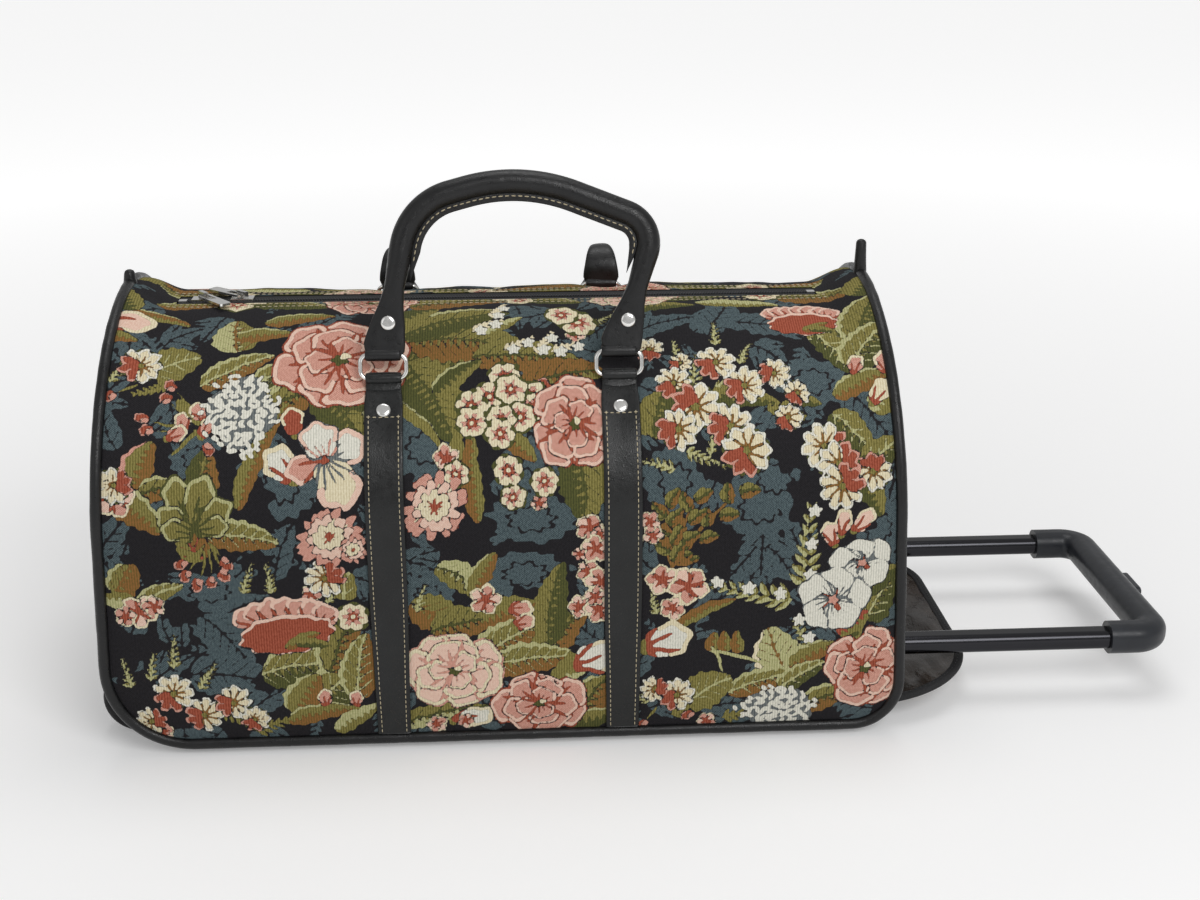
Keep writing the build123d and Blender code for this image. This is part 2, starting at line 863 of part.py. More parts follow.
# Pull handle: sleeves fixed in the base and tubes that slide in them
def tube_pair(first, last, grow, bore):
    """Two parallel tubes along the bag, with a wall left round a bore."""
    with BuildPart() as pair:
        extrude(tube_outline(Plane.YZ.offset(first), grow), amount=last - first)
        extrude(
            tube_outline(Plane.YZ.offset(first), bore), amount=last - first, mode=Mode.SUBTRACT
        )
    return pair.part.solids().sort_by(Axis.Y)


sleeve_bore = sleeve_clearance
sleeve_outside = sleeve_clearance + sleeve_wall
sleeve_solids = tube_pair(sleeve_start, well_back, sleeve_outside, sleeve_bore)
with BuildPart() as front_sleeve:
    add(sleeve_solids[0])

with BuildPart() as back_sleeve:
    add(sleeve_solids[1])

tube_solids = tube_pair(tube_start, tube_end, 0, -tube_wall)
with BuildPart() as front_tube:
    add(tube_solids[0])

with BuildPart() as back_tube:
    add(tube_solids[1])

# Plugs that close the inner ends of the tubes
with BuildPart() as tube_plugs:
    extrude(tube_outline(Plane.YZ.offset(tube_start), -tube_wall), amount=plug_length)
    extrude(tube_outline(Plane.YZ.offset(tube_start), 0), amount=-plug_head)

# Bushes round the tubes where they leave the back of the well
bush_face = well_back + well_wall
with BuildPart() as mouth_bushes:
    extrude(tube_outline(Plane.YZ.offset(well_back), sleeve_wall), amount=well_wall)
    extrude(tube_outline(Plane.YZ.offset(bush_face), bush_border), amount=bush_flange)
    extrude(
        tube_outline(Plane.YZ.offset(well_back), bush_clearance),
        amount=well_wall + bush_flange,
        mode=Mode.SUBTRACT,
    )

# Bar that clamps the sleeves to the base board and closes their inner ends
board_top = inner_base + board_thickness
clamp_top = tube_height + tube_depth / 2 + sleeve_outside + clamp_rise
clamp_half_width = tube_y + tube_width / 2 + clamp_overhang
with BuildPart() as clamp_bar:
    with BuildSketch(Plane.YZ.offset(sleeve_start - clamp_back)):
        with Locations((0, (board_top + clamp_top) / 2)):
            Rectangle(2 * clamp_half_width, clamp_top - board_top)
    extrude(amount=clamp_back + clamp_length)
    extrude(
        tube_outline(Plane.YZ.offset(sleeve_start), sleeve_outside),
        amount=clamp_length,
        mode=Mode.SUBTRACT,
    )

# Grip across the ends of the tubes, with a push button in its outer face
grip_face = grip_bar_x + grip_width / 2
button_seat = grip_face - button_floor - button_depth + button_proud
with BuildPart() as grip:
    with BuildLine(Plane.XY.offset(tube_height)) as grip_path:
        FilletPolyline(
            (grip_start, -tube_y),
            (grip_bar_x, -tube_y),
            (grip_bar_x, tube_y),
            (grip_start, tube_y),
            radius=grip_bend,
        )
    with BuildSketch(Plane.YZ.offset(grip_start)):
        with Locations((-tube_y, tube_height)):
            RectangleRounded(grip_width, grip_depth, grip_corner)
    sweep(path=grip_path.wire())
    extrude(
        tube_outline(Plane.YZ.offset(grip_start), 0), amount=tube_end - grip_start, mode=Mode.SUBTRACT
    )
    with BuildSketch(Plane.YZ.offset(button_seat)):
        with Locations((0, tube_height)):
            RectangleRounded(
                button_length + 2 * button_clearance,
                button_height + 2 * button_clearance,
                button_corner + button_clearance,
            )
    extrude(amount=grip_width, mode=Mode.SUBTRACT)

with BuildPart() as push_button:
    with BuildSketch(Plane.YZ.offset(button_seat + button_floor)):
        with Locations((0, tube_height)):
            RectangleRounded(button_length, button_height, button_corner)
    extrude(amount=button_depth)
    fillet(push_button.faces().sort_by(Axis.X)[-1].edges(), radius=button_corner / 2)

# Flap of the handle well, folded down, with a bound rim
hinge_rise = base_height + right_corner - well_bottom
hinge_x = half_length - right_corner + sqrt(right_corner**2 - hinge_rise**2)
flap_along = (cos(radians(flap_tilt)), 0, sin(radians(flap_tilt)))
flap_up = (-sin(radians(flap_tilt)), 0, cos(radians(flap_tilt)))
flap_plane = Plane((hinge_x, 0, well_bottom), x_dir=(0, -1, 0), z_dir=flap_up)


def flap_view(inset, plane):
    """Outline of the flap on a plane, from inside the end panel to its rim."""
    side = flap_half_width - inset
    with BuildSketch(plane) as view:
        with BuildLine():
            FilletPolyline(
                (-side, -flap_lap),
                (-side, flap_reach - inset),
                (side, flap_reach - inset),
                (side, -flap_lap),
                radius=flap_corner - inset,
            )
            Line((side, -flap_lap), (-side, -flap_lap))
        make_face()
    return view.sketch


with BuildPart() as handle_flap:
    extrude(flap_view(binding_width, flap_plane), amount=flap_thickness / 2, both=True)
    extrude(side_view(0, Plane.XZ), amount=half_width, both=True, mode=Mode.SUBTRACT)

with BuildPart() as flap_binding:
    extrude(flap_view(0, flap_plane), amount=binding_thickness / 2, both=True)
    extrude(
        flap_view(binding_width, flap_plane),
        amount=binding_thickness / 2,
        both=True,
        mode=Mode.SUBTRACT,
    )
    extrude(side_view(0, Plane.XZ), amount=half_width, both=True, mode=Mode.SUBTRACT)

# The frame's origin lies on the floor under the middle of the whole outline
left_reach = wheel_x - wheel_radius
right_reach = button_seat + button_floor + button_depth
front_reach = half_width + piping_radius
back_reach = droop_knee_y + roll_radius
frame_shift = Location(
    (-(left_reach + right_reach) / 2, (front_reach - back_reach) / 2, 0)
)

pieces = {
    "front_panel": front_panel,
    "back_panel": back_panel,
    "left_end_panel": left_end_panel,
    "right_end_panel": right_end_panel,
    "base_panel": base_panel,
    "front_piping": front_piping,
    "back_piping": back_piping,
    "piping_tails": piping_tails,
    "front_tape": front_tape,
    "back_tape": back_tape,
    "zip_chain": zip_chain,
    "zip_stops": zip_stops,
    "left_slider": left_slider,
    "left_pull": left_pull,
    "right_slider": right_slider,
    "right_pull": right_pull,
    "front_left_strap": front_left_strap,
    "front_right_strap": front_right_strap,
    "back_left_strap": back_left_strap,
    "back_right_strap": back_right_strap,
    "front_strap_rivets": front_strap_rivets,
    "back_strap_rivets": back_strap_rivets,
    "front_rings": front_rings,
    "back_rings": back_rings,
    "front_handle": front_handle,
    "front_handle_rivets": front_handle_rivets,
    "back_handle": back_handle,
    "back_handle_rivets": back_handle_rivets,
    "front_sleeve": front_sleeve,
    "back_sleeve": back_sleeve,
    "front_tube": front_tube,
    "back_tube": back_tube,
    "tube_plugs": tube_plugs,
    "mouth_bushes": mouth_bushes,
    "clamp_bar": clamp_bar,
    "grip": grip,
    "push_button": push_button,
    "handle_well": handle_well,
    "handle_flap": handle_flap,
    "flap_binding": flap_binding,
    "base_board": base_board,
    "floor_board": floor_board,
    "front_housing": front_housing,
    "back_housing": back_housing,
    "front_hub": front_hub,
    "back_hub": back_hub,
    "front_tyre": front_tyre,
    "back_tyre": back_tyre,
    "front_axle": front_axle,
    "back_axle": back_axle,
    "feet": feet,
    "foot_screws": foot_screws,
}

os.makedirs("parts", exist_ok=True)
for name, piece in pieces.items():
    solid = piece.part.moved(frame_shift)
    solid.label = name
    export_step(solid, f"parts/{name}.step")
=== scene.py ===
"""Looks of a wheeled carpet bag: woven floral cloth, black leather trim and a pull handle.

Lengths are in millimetres in the bag's own frame until to_world() makes metres of them:
X runs along the bag, Y to the back, Z up from the floor, and zero is under the middle of the zip.
"""
from math import atan2, cos, degrees, hypot, pi, radians, sin, sqrt, tan

import bpy
import numpy as np
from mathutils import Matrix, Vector


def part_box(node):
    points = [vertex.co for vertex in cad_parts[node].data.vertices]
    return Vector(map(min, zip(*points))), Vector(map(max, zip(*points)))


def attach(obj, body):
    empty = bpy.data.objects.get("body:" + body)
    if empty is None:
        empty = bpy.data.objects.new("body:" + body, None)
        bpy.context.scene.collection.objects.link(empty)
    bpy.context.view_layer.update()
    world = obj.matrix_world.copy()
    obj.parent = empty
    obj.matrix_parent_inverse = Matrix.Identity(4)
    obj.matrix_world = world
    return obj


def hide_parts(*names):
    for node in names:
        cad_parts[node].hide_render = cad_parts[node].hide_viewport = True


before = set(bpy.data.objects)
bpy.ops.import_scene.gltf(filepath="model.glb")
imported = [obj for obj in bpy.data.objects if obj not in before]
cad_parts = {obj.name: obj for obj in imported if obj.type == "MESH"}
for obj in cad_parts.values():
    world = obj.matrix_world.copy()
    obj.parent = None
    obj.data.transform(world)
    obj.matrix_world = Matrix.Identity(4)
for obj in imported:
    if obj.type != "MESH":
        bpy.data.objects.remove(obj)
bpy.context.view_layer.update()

# Sizes of the bag, the same as the solids'
half_length = 278
half_width = 144
base_height = 8
side_height = 165
top_middle = 290
end_rise = 13
shoulder = 95
sag_start = 232
sag_end = 262
end_slope = tan(radians(2.5))
left_corner = 60
right_corner = 35
left_split = 78
right_split = 46
piping_radius = 4
piping_gap = 5
zip_half_gap = 11
zip_end = 232
strap_x = 80
strap_width = 26
strap_thickness = 2.4
bar_y = -101.63
bar_z = 258.63
pin_y = -97.49
pin_z = 274.08
handle_lean = 13
roll_radius = 8.1
loop_radius = 3.15
loop_width = 24
crown_radius = 150
end_top = top_middle + end_rise
reach = half_width - shoulder
wall_length = side_height - base_height

# Slack of the cloth: its mean height, the height, pitch and seed of its waves, and the press of the straps
swell_mean = 2.7
swell_waves = ((1.7, 88, 0), (0.7, 34, 5), (0.25, 11, 7))
swell_border = 34
pucker_height = 0.6
pucker_pitch = 24
press_width = 17
press_start = 205
press_rise = 40

# Stitches: their pitch, length and thread radius
mouth_stitch = (5, 3.2, 0.4)
zip_stitch = (4.2, 2.7, 0.34)
strap_stitch = (3.8, 2.6, 0.36)
handle_stitch = (4.4, 3, 0.42)
rim_stitch = (4.2, 2.8, 0.4)

chain_low, chain_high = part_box("zip_chain")
bag_origin = np.array([(chain_low.x + chain_high.x) / 2, (chain_low.y + chain_high.y) / 2, 0])


def to_world(points):
    """Points of the bag's frame, in metres in the shared frame."""
    return np.asarray(points, float) * 0.001 + bag_origin


def smooth(share):
    """Eased step from 0 to 1."""
    share = np.clip(share, 0, 1)
    return share * share * (3 - 2 * share)


def between(grid, row, column, across, up):
    """Values of a grid at places between its points."""
    low = grid[row, column] * (1 - across) + grid[row, column + 1] * across
    high = grid[row + 1, column] * (1 - across) + grid[row + 1, column + 1] * across
    return low * (1 - up) + high * up


def soft_noise(x, y, pitch, seed):
    """Smooth random field from -1 to 1 whose bumps are about a pitch apart."""
    cells = 64
    grid = np.random.default_rng(seed).uniform(-1, 1, (cells, cells))
    grid = np.pad(grid, ((0, 1), (0, 1)), "wrap")
    u, v = np.asarray(x, float) / pitch, np.asarray(y, float) / pitch
    column, row = np.floor(u).astype(int), np.floor(v).astype(int)
    return between(grid, row % cells, column % cells, smooth(u - column), smooth(v - row))


def points_of(x, y, z):
    """Points from their coordinates, of which some may be the same for all."""
    return np.stack(np.broadcast_arrays(x, y, z), axis=-1)


# Shape of the cloth body


def arch(x):
    """Top, crown radius and turn of the shoulder at places along the bag."""
    share = smooth((np.abs(x) - sag_start) / (sag_end - sag_start))
    top = top_middle + end_rise * share
    rise = top - side_height
    crown = (reach**2 + rise**2 - shoulder**2) / (2 * (rise - shoulder))
    return top, crown, np.arctan2(crown - rise, reach)


def profile(x, s):
    """Y, Z and the outward direction of the front at a distance s up the cloth."""
    top, crown, turn = arch(x)
    shoulder_length = wall_length + shoulder * turn
    bend = np.clip((s - wall_length) / shoulder, 0, turn)
    over = turn + np.clip((s - shoulder_length) / crown, 0, None)
    on_crown = s > shoulder_length
    angle = np.where(on_crown, over, bend)
    y = np.where(on_crown, -crown * np.cos(over), -reach - shoulder * np.cos(bend))
    z = np.where(on_crown, top - crown + crown * np.sin(over), side_height + shoulder * np.sin(bend))
    z = np.where(s < wall_length, base_height + s, z)
    return y, z, -np.cos(angle), np.sin(angle)


def cloth_length(x, gap):
    """Distance up the cloth from its lower edge to a gap from the bag's middle line."""
    _, crown, turn = arch(x)
    return wall_length + shoulder * turn + crown * (pi / 2 - turn - np.arcsin(gap / crown))


def corner(height, radius):
    """How far a rounded lower corner cuts in at a height above the base."""
    drop = np.clip(radius - height, 0, radius)
    return radius - np.sqrt(radius**2 - drop**2)


def end_place(z, hand):
    """X of the leaning end at a height, on the left (-1) or the right (1)."""
    radius = left_corner if hand < 0 else right_corner
    return hand * (half_length - (z - base_height) * end_slope - corner(z - base_height, radius))


def swell(x, s, hand):
    """How far the soft cloth stands out of the plain form."""
    edge_z = profile(np.full_like(x, half_length), s)[1]
    border = np.minimum(x - end_place(edge_z, -1), end_place(edge_z, 1) - x)
    border = np.minimum(border, np.minimum(s, cloth_length(x, zip_half_gap) - s))
    seed = 20 + hand
    field = swell_mean
    for height, pitch, step in swell_waves:
        field = field + height * soft_noise(x, s, pitch, seed + step)
    field = field + pucker_height * soft_noise(x + 0.3 * s, 0.22 * s, pucker_pitch, seed + 9)
    under_strap = np.exp(-(((np.abs(x) - strap_x) / press_width) ** 2))
    held = 0.5 + 0.5 * smooth((s - press_start) / press_rise)
    return smooth(border / swell_border) * field * (1 - held * under_strap)


def cloth_point(x, s, lift, hand):
    """Points above the swollen cloth of the front (-1) or the back (1)."""
    x, s, lift = np.broadcast_arrays(*(np.asarray(value, float) for value in (x, s, lift)))
    y, z, out_y, out_z = profile(x, s)
    height = swell(x, s, hand) + lift
    return points_of(x, -hand * (y + out_y * height), z + out_z * height)


# Mesh helpers


def grid_faces(rows, columns, close=False):
    """Quads of a grid of points stored row by row."""
    faces = []
    for r in range(rows - 1):
        for c in range(columns if close else columns - 1):
            a = r * columns + c
            b = r * columns + (c + 1) % columns
            faces.append((a, b, b + columns, a + columns))
    return faces


def join_parts(parts):
    """One list of points and faces from several."""
    points, faces, start = [], [], 0
    for part_points, part_faces in parts:
        points.append(np.asarray(part_points, float).reshape(-1, 3))
        faces += [tuple(index + start for index in face) for face in part_faces]
        start += len(points[-1])
    return np.concatenate(points), faces


def add_object(name, data):
    """New object in the scene."""
    thing = bpy.data.objects.new(name, data)
    bpy.context.scene.collection.objects.link(thing)
    return thing


def make_piece(name, parts, material, node=None, body="bag", flip=False):
    """Smooth mesh piece of joined parts that rides on a body and may stand for a CAD node."""
    points, faces = join_parts(parts)
    if flip:
        faces = [face[::-1] for face in faces]
    mesh = bpy.data.meshes.new(name)
    mesh.from_pydata(to_world(points).tolist(), [], faces)
    mesh.polygons.foreach_set("use_smooth", [True] * len(mesh.polygons))
    mesh.materials.append(material)
    piece = add_object(name, mesh)
    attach(piece, body)
    if node:
        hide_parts(node)
    return piece


def along(path):
    """Unit directions along a path of points."""
    step = np.gradient(np.asarray(path, float), axis=0)
    return step / np.linalg.norm(step, axis=1)[:, None]


def sweep(path, side, sections, capped=True):
    """Tube through a path. A section's first number runs along side, its second across it."""
    path = np.asarray(path, float)
    tangent = along(path)
    side = np.broadcast_to(np.asarray(side, float), path.shape)
    side = side - np.sum(side * tangent, axis=1)[:, None] * tangent
    side = side / np.linalg.norm(side, axis=1)[:, None]
    other = np.cross(tangent, side)
    sections = np.asarray(sections, float)
    if sections.ndim == 2:
        sections = np.broadcast_to(sections, (len(path),) + sections.shape)
    points = path[:, None] + sections[..., :1] * side[:, None] + sections[..., 1:] * other[:, None]
    count = sections.shape[1]
    faces = grid_faces(len(path), count, close=True)
    if capped:
        faces.append(tuple(reversed(range(count))))
        faces.append(tuple(range((len(path) - 1) * count, len(path) * count)))
    return points.reshape(-1, 3), faces


def carried_side(path, first):
    """Side directions that turn with a path as little as they can."""
    tangent = along(path)
    sides = []
    side = np.asarray(first, float)
    for direction in tangent:
        side = side - np.dot(side, direction) * direction
        side = side / np.linalg.norm(side)
        sides.append(side)
    return np.array(sides)


def soft_section(half_width, half_thickness, power, count):
    """Section between round (power 2) and square, for one place or each place of a path."""
    angle = np.linspace(0, 2 * pi, count, endpoint=False)
    c, n = np.cos(angle), np.sin(angle)
    bend = 2 / np.asarray(power)[..., None]
    u = np.sign(c) * np.abs(c) ** bend * np.asarray(half_width)[..., None]
    v = np.sign(n) * np.abs(n) ** bend * np.asarray(half_thickness)[..., None]
    return np.stack([u, v], axis=-1)


def round_section(radius, count):
    """Circle of points."""
    return soft_section(radius, radius, 2, count)


def flat_section(width, thickness, count, power):
    """Strip section with softly rounded edges."""
    return soft_section(width / 2, thickness / 2, power, count)


def resized(section, sizes):
    """Sections along a path: one section at a size for each place."""
    return section[None] * sizes[:, None, None]


def run_length(path):
    """Distance of each point along a path."""
    gaps = np.linalg.norm(np.diff(path, axis=0), axis=1)
    return np.concatenate([[0], np.cumsum(gaps)])


def spaced(path, step):
    """Points at even distances along a path."""
    path = np.asarray(path, float)
    length = run_length(path)
    count = max(int(round(length[-1] / step)), 1) + 1
    places = np.linspace(0, length[-1], count)
    return np.stack([np.interp(places, length, path[:, axis]) for axis in range(3)], axis=1)


def stitch_row(path, stitch):
    """Row of thread stitches along a path, each a small rounded capsule."""
    pitch, length, radius = stitch
    centres = spaced(path, pitch)
    shares = np.array([-1, -0.85, -0.4, 0.4, 0.85, 1])
    sections = resized(round_section(radius, 6), np.array([0.12, 0.7, 1, 1, 0.7, 0.12]))
    parts = []
    for centre, direction in zip(centres, along(centres)):
        line = centre + np.outer(shares * length / 2, direction)
        parts.append(sweep(line, np.cross(direction, (0.31, 0.52, 0.79)), sections))
    return parts


def rounded_path(corners, radii, step):
    """Points along straight runs joined by arcs, in the plane of the corners."""
    corners = [np.asarray(point, float) for point in corners]
    points = [corners[0]]
    for before, here, after, radius in zip(corners, corners[1:], corners[2:], radii):
        back = (before - here) / np.linalg.norm(before - here)
        ahead = (after - here) / np.linalg.norm(after - here)
        half = np.arccos(np.clip(np.dot(back, ahead), -1, 1)) / 2
        setback = radius / np.tan(half)
        middle = (back + ahead) / np.linalg.norm(back + ahead)
        centre = here + middle * radius / np.sin(half)
        start = here + back * setback - centre
        finish = here + ahead * setback - centre
        sweep_angle = pi - 2 * half
        count = max(int(radius * sweep_angle / step), 6)
        for share in np.linspace(0, 1, count):
            blend_start = np.sin((1 - share) * sweep_angle) / np.sin(sweep_angle)
            blend_finish = np.sin(share * sweep_angle) / np.sin(sweep_angle)
            points.append(centre + start * blend_start + finish * blend_finish)
    points.append(corners[-1])
    return np.array(points)


# Materials


class Nodes:
    """Node tree of a material or the world, with short calls for the nodes used here."""

    def __init__(self, owner):
        owner.use_nodes = True
        self.nodes = owner.node_tree.nodes
        self.links = owner.node_tree.links

    def put(self, socket, value):
        """Sets a socket, or links it when the value is another node's output."""
        if isinstance(value, bpy.types.NodeSocket):
            self.links.new(value, socket)
        else:
            socket.default_value = (*value, 1) if socket.type == "RGBA" else value

    def add(self, kind, output, inputs, **settings):
        """Adds a node with its settings and inputs, and gives one of its outputs."""
        node = self.nodes.new("ShaderNode" + kind)
        for key, value in settings.items():
            setattr(node, key, value)
        for key, value in inputs.items():
            self.put(node.inputs[key], value)
        return node.outputs[output]

    def math(self, kind, a, b=0.0):
        return self.add("Math", 0, {0: a, 1: b}, operation=kind)

    def ramp(self, value, low, high, out_low=0.0, out_high=1.0):
        limits = {"From Min": low, "From Max": high, "To Min": out_low, "To Max": out_high}
        return self.add("MapRange", "Result", {"Value": value, **limits})

    def seen(self):
        """1 for rays from the camera and for mirrored or refracted ones, and 0 for light."""
        rays = self.nodes.new("ShaderNodeLightPath").outputs
        value = self.math("MAXIMUM", rays["Is Camera Ray"], rays["Is Glossy Ray"])
        return self.math("MAXIMUM", value, rays["Is Transmission Ray"])


class Shader(Nodes):
    """Node material built up from a Principled shader."""

    def __init__(self, name, colour, roughness, **values):
        self.material = bpy.data.materials.new(name)
        super().__init__(self.material)
        self.surface = self.nodes["Principled BSDF"].inputs
        self.put(self.surface["Base Color"], colour)
        self.surface["Roughness"].default_value = roughness
        for key, value in values.items():
            self.surface[key.replace("_", " ")].default_value = value

    def coordinates(self, scale=(1, 1, 1)):
        """Object coordinates in metres, stretched by a scale."""
        return self.stretch(self.add("TexCoord", "Object", {}), scale)

    def stretch(self, vector, scale):
        return self.add("Mapping", "Vector", {"Vector": vector, "Scale": scale})

    def attribute(self, name, output):
        return self.add("Attribute", output, {}, attribute_name=name)

    def noise(self, vector, scale, detail=3, roughness=0.55):
        grain = {"Scale": scale, "Detail": detail, "Roughness": roughness}
        return self.add("TexNoise", "Fac", {"Vector": vector, **grain})

    def cells(self, vector, scale):
        return self.add("TexVoronoi", "Distance", {"Vector": vector, "Scale": scale})

    def mix(self, share, first, second):
        return self.add("Mix", 2, {0: share, 6: first, 7: second}, data_type="RGBA")

    def bump(self, height, strength, distance, normal=None):
        inputs = {"Strength": strength, "Distance": distance, "Height": height}
        if normal is not None:
            inputs["Normal"] = normal
        return self.add("Bump", "Normal", inputs)

    def finish(self, colour=None, roughness=None, normal=None):
        """Links what varies over the surface and gives the material."""
        for key, value in (("Base Color", colour), ("Roughness", roughness), ("Normal", normal)):
            if value is not None:
                self.put(self.surface[key], value)
        return self.material


def linear(red, green, blue):
    """Linear colour from screen values of 0 to 255."""
    return tuple((value / 255 / 12.92) if value < 11 else ((value / 255 + 0.055) / 1.055) ** 2.4
                 for value in (red, green, blue))


def leather_material(name, shade, grain):
    """Black leather with a fine grain and soft uneven gloss."""
    sh = Shader(name, shade, 0.36, Specular_IOR_Level=0.38)
    place = sh.coordinates()
    patches = sh.noise(place, 60, 4)
    colour = sh.mix(sh.ramp(patches, 0.3, 0.7), shade, tuple(1.6 * v + 0.001 for v in shade))
    rough = sh.ramp(sh.noise(place, 240, 3), 0.3, 0.7, 0.24, 0.42)
    pores = sh.bump(sh.cells(place, grain), 0.26, 0.0004)
    folds = sh.bump(sh.noise(place, 70, 4), 0.3, 0.002, pores)
    return sh.finish(colour, rough, folds)


def metal_material(name, shade, roughness, streak=(1, 1, 1)):
    """Plated metal with fine wear."""
    sh = Shader(name, shade, roughness, Metallic=1.0)
    place = sh.coordinates(streak)
    worn = sh.noise(place, 420, 5)
    colour = sh.mix(sh.ramp(worn, 0.35, 0.75), shade, tuple(0.84 * v for v in shade))
    rough = sh.ramp(sh.noise(place, 600, 3), 0.3, 0.7, roughness * 0.85, roughness * 1.2)
    return sh.finish(colour, rough, sh.bump(worn, 0.02, 0.0001))


def plastic_material(name, shade, roughness, grain):
    """Moulded plastic with a fine texture."""
    sh = Shader(name, shade, roughness, Specular_IOR_Level=0.36)
    place = sh.coordinates()
    cloud = sh.noise(place, 45, 3)
    colour = sh.mix(sh.ramp(cloud, 0.3, 0.7), shade, tuple(1.5 * v + 0.001 for v in shade))
    rough = sh.ramp(sh.noise(place, 160, 3), 0.3, 0.7, roughness * 0.85, roughness * 1.2)
    return sh.finish(colour, rough, sh.bump(sh.noise(place, grain, 2), 0.12, 0.0003))


def tape_material(name, shade):
    """Woven tape with ribs along the bag."""
    sh = Shader(name, shade, 0.85)
    place = sh.coordinates((1, 1, 0))
    ribs = sh.noise(sh.stretch(place, (2600, 900, 0)), 1, 1)
    colour = sh.mix(sh.ramp(ribs, 0.35, 0.65), shade, tuple(2.4 * v for v in shade))
    return sh.finish(colour, None, sh.bump(ribs, 0.5, 0.0006))


def thread_material():
    """Waxed cream sewing thread."""
    shade = linear(206, 192, 160)
    sh = Shader("cream_thread", shade, 0.6)
    place = sh.coordinates()
    twist = sh.noise(place, 1500, 2)
    colour = sh.mix(sh.ramp(twist, 0.3, 0.7), tuple(0.72 * v for v in shade), shade)
    return sh.finish(colour, None, sh.bump(twist, 0.4, 0.0003))


def lining_material():
    """Shiny dark brown film that lines the flap, creased and rubbed."""
    shade = linear(44, 37, 32)
    sh = Shader("flap_lining", shade, 0.26, Specular_IOR_Level=0.42)
    place = sh.coordinates()
    cloud = sh.noise(place, 26, 5)
    colour = sh.mix(sh.ramp(cloud, 0.3, 0.75), linear(26, 21, 18), linear(60, 50, 42))
    rough = sh.ramp(sh.noise(place, 80, 4), 0.3, 0.7, 0.18, 0.34)
    creases = sh.bump(sh.noise(sh.stretch(place, (2.4, 0.7, 1)), 34, 5, 0.6), 0.5, 0.004)
    return sh.finish(colour, rough, creases)


GROUND, SLATE, DEEP, OLIVE, OCHRE, SAGE, PINK, BLUSH, RUST, CREAM, WHITE, GREY = range(12)
yarns = {
    GROUND: (linear(26, 25, 27), linear(40, 38, 41)),
    SLATE: (linear(52, 63, 68), linear(94, 109, 112)),
    DEEP: (linear(66, 70, 38), linear(92, 92, 50)),
    OLIVE: (linear(104, 99, 50), linear(146, 136, 78)),
    OCHRE: (linear(112, 88, 44), linear(148, 104, 58)),
    SAGE: (linear(158, 158, 106), linear(196, 192, 144)),
    PINK: (linear(188, 130, 113), linear(222, 170, 153)),
    BLUSH: (linear(222, 180, 160), linear(238, 210, 192)),
    RUST: (linear(136, 64, 46), linear(172, 92, 70)),
    CREAM: (linear(212, 198, 162), linear(236, 226, 196)),
    WHITE: (linear(204, 202, 188), linear(238, 235, 222)),
    GREY: (linear(84, 90, 92), linear(124, 128, 126)),
}
rib_pitch = 1.8
weft_pitch = 1.5
print_layers = ("print_a", "print_b", "print_c")


def cloth_material():
    """Woven cloth: one yarn pair for each field of the print, with ribs and float threads."""
    sh = Shader("tapestry_cloth", yarns[GROUND][0], 0.9, Specular_IOR_Level=0.2)
    fabric = sh.attribute("fabric", "Vector")
    place = sh.nodes.new("ShaderNodeSeparateXYZ")
    sh.put(place.inputs[0], fabric)
    rib = sh.math("SINE", sh.math("MULTIPLY", place.outputs[0], 2 * pi / rib_pitch))
    weft = sh.math("SINE", sh.math("MULTIPLY", place.outputs[1], 2 * pi / weft_pitch))
    fleck = sh.noise(sh.stretch(fabric, (0.9, 0.5, 1)), 1, 3)
    striped = sh.ramp(sh.math("ADD", sh.math("MULTIPLY", rib, 0.16), fleck), 0.32, 0.68)
    checks = sh.math("MULTIPLY", sh.math("MULTIPLY", rib, weft), 0.22)
    dotted = sh.ramp(sh.math("ADD", checks, fleck), 0.3, 0.7)
    ragged = sh.ramp(sh.noise(sh.stretch(fabric, (0.8, 0.5, 1)), 1, 2), 0, 1, -0.3, 0.3)
    colour = sh.mix(dotted, *yarns[GROUND])
    yarn = SLATE
    for name in print_layers:
        split = sh.nodes.new("ShaderNodeSeparateColor")
        sh.put(split.inputs[0], sh.attribute(name, "Color"))
        for channel in [*split.outputs, sh.attribute(name, "Alpha")]:
            if yarn in yarns:
                tone = dotted if yarn in (SLATE, PINK, BLUSH) else striped
                share = sh.ramp(sh.math("ADD", channel, ragged), 0.42, 0.58)
                colour = sh.mix(share, colour, sh.mix(tone, *yarns[yarn]))
            yarn += 1
    weave = sh.math("MULTIPLY", sh.math("ADD", rib, 1.0), sh.math("ADD", weft, 1.6))
    height = sh.math("ADD", sh.math("MULTIPLY", weave, 0.12), sh.math("MULTIPLY", fleck, 0.8))
    return sh.finish(colour, None, sh.bump(height, 0.35, 0.0006))


leather = leather_material("black_leather", linear(13, 13, 14), 1500)
strap_leather = leather_material("strap_leather", linear(17, 18, 18), 1300)
cloth = cloth_material()
thread = thread_material()
bright_metal = metal_material("bright_metal", linear(228, 227, 224), 0.18)
steel = metal_material("steel", linear(150, 150, 152), 0.32)
tube_metal = metal_material("gunmetal_tube", linear(56, 56, 59), 0.2, (0.02, 0.3, 0.3))
sleeve_metal = metal_material("sleeve_metal", linear(170, 171, 173), 0.38, (0.05, 1, 1))
black_tape = tape_material("black_tape", linear(24, 24, 25))
coil_plastic = plastic_material("zip_coil", linear(30, 30, 32), 0.45, 1800)
grip_plastic = plastic_material("grip_plastic", linear(33, 35, 39), 0.36, 2200)
button_plastic = plastic_material("button_plastic", linear(38, 40, 45), 0.34, 2200)
black_plastic = plastic_material("black_plastic", linear(30, 30, 31), 0.5, 1600)
base_vinyl = leather_material("base_vinyl", linear(28, 28, 30), 700)
well_lining = tape_material("well_lining", linear(34, 33, 33))
tyre_rubber = plastic_material("tyre_rubber", linear(34, 34, 35), 0.75, 900)
board_grey = plastic_material("board_grey", linear(74, 72, 69), 0.7, 1200)
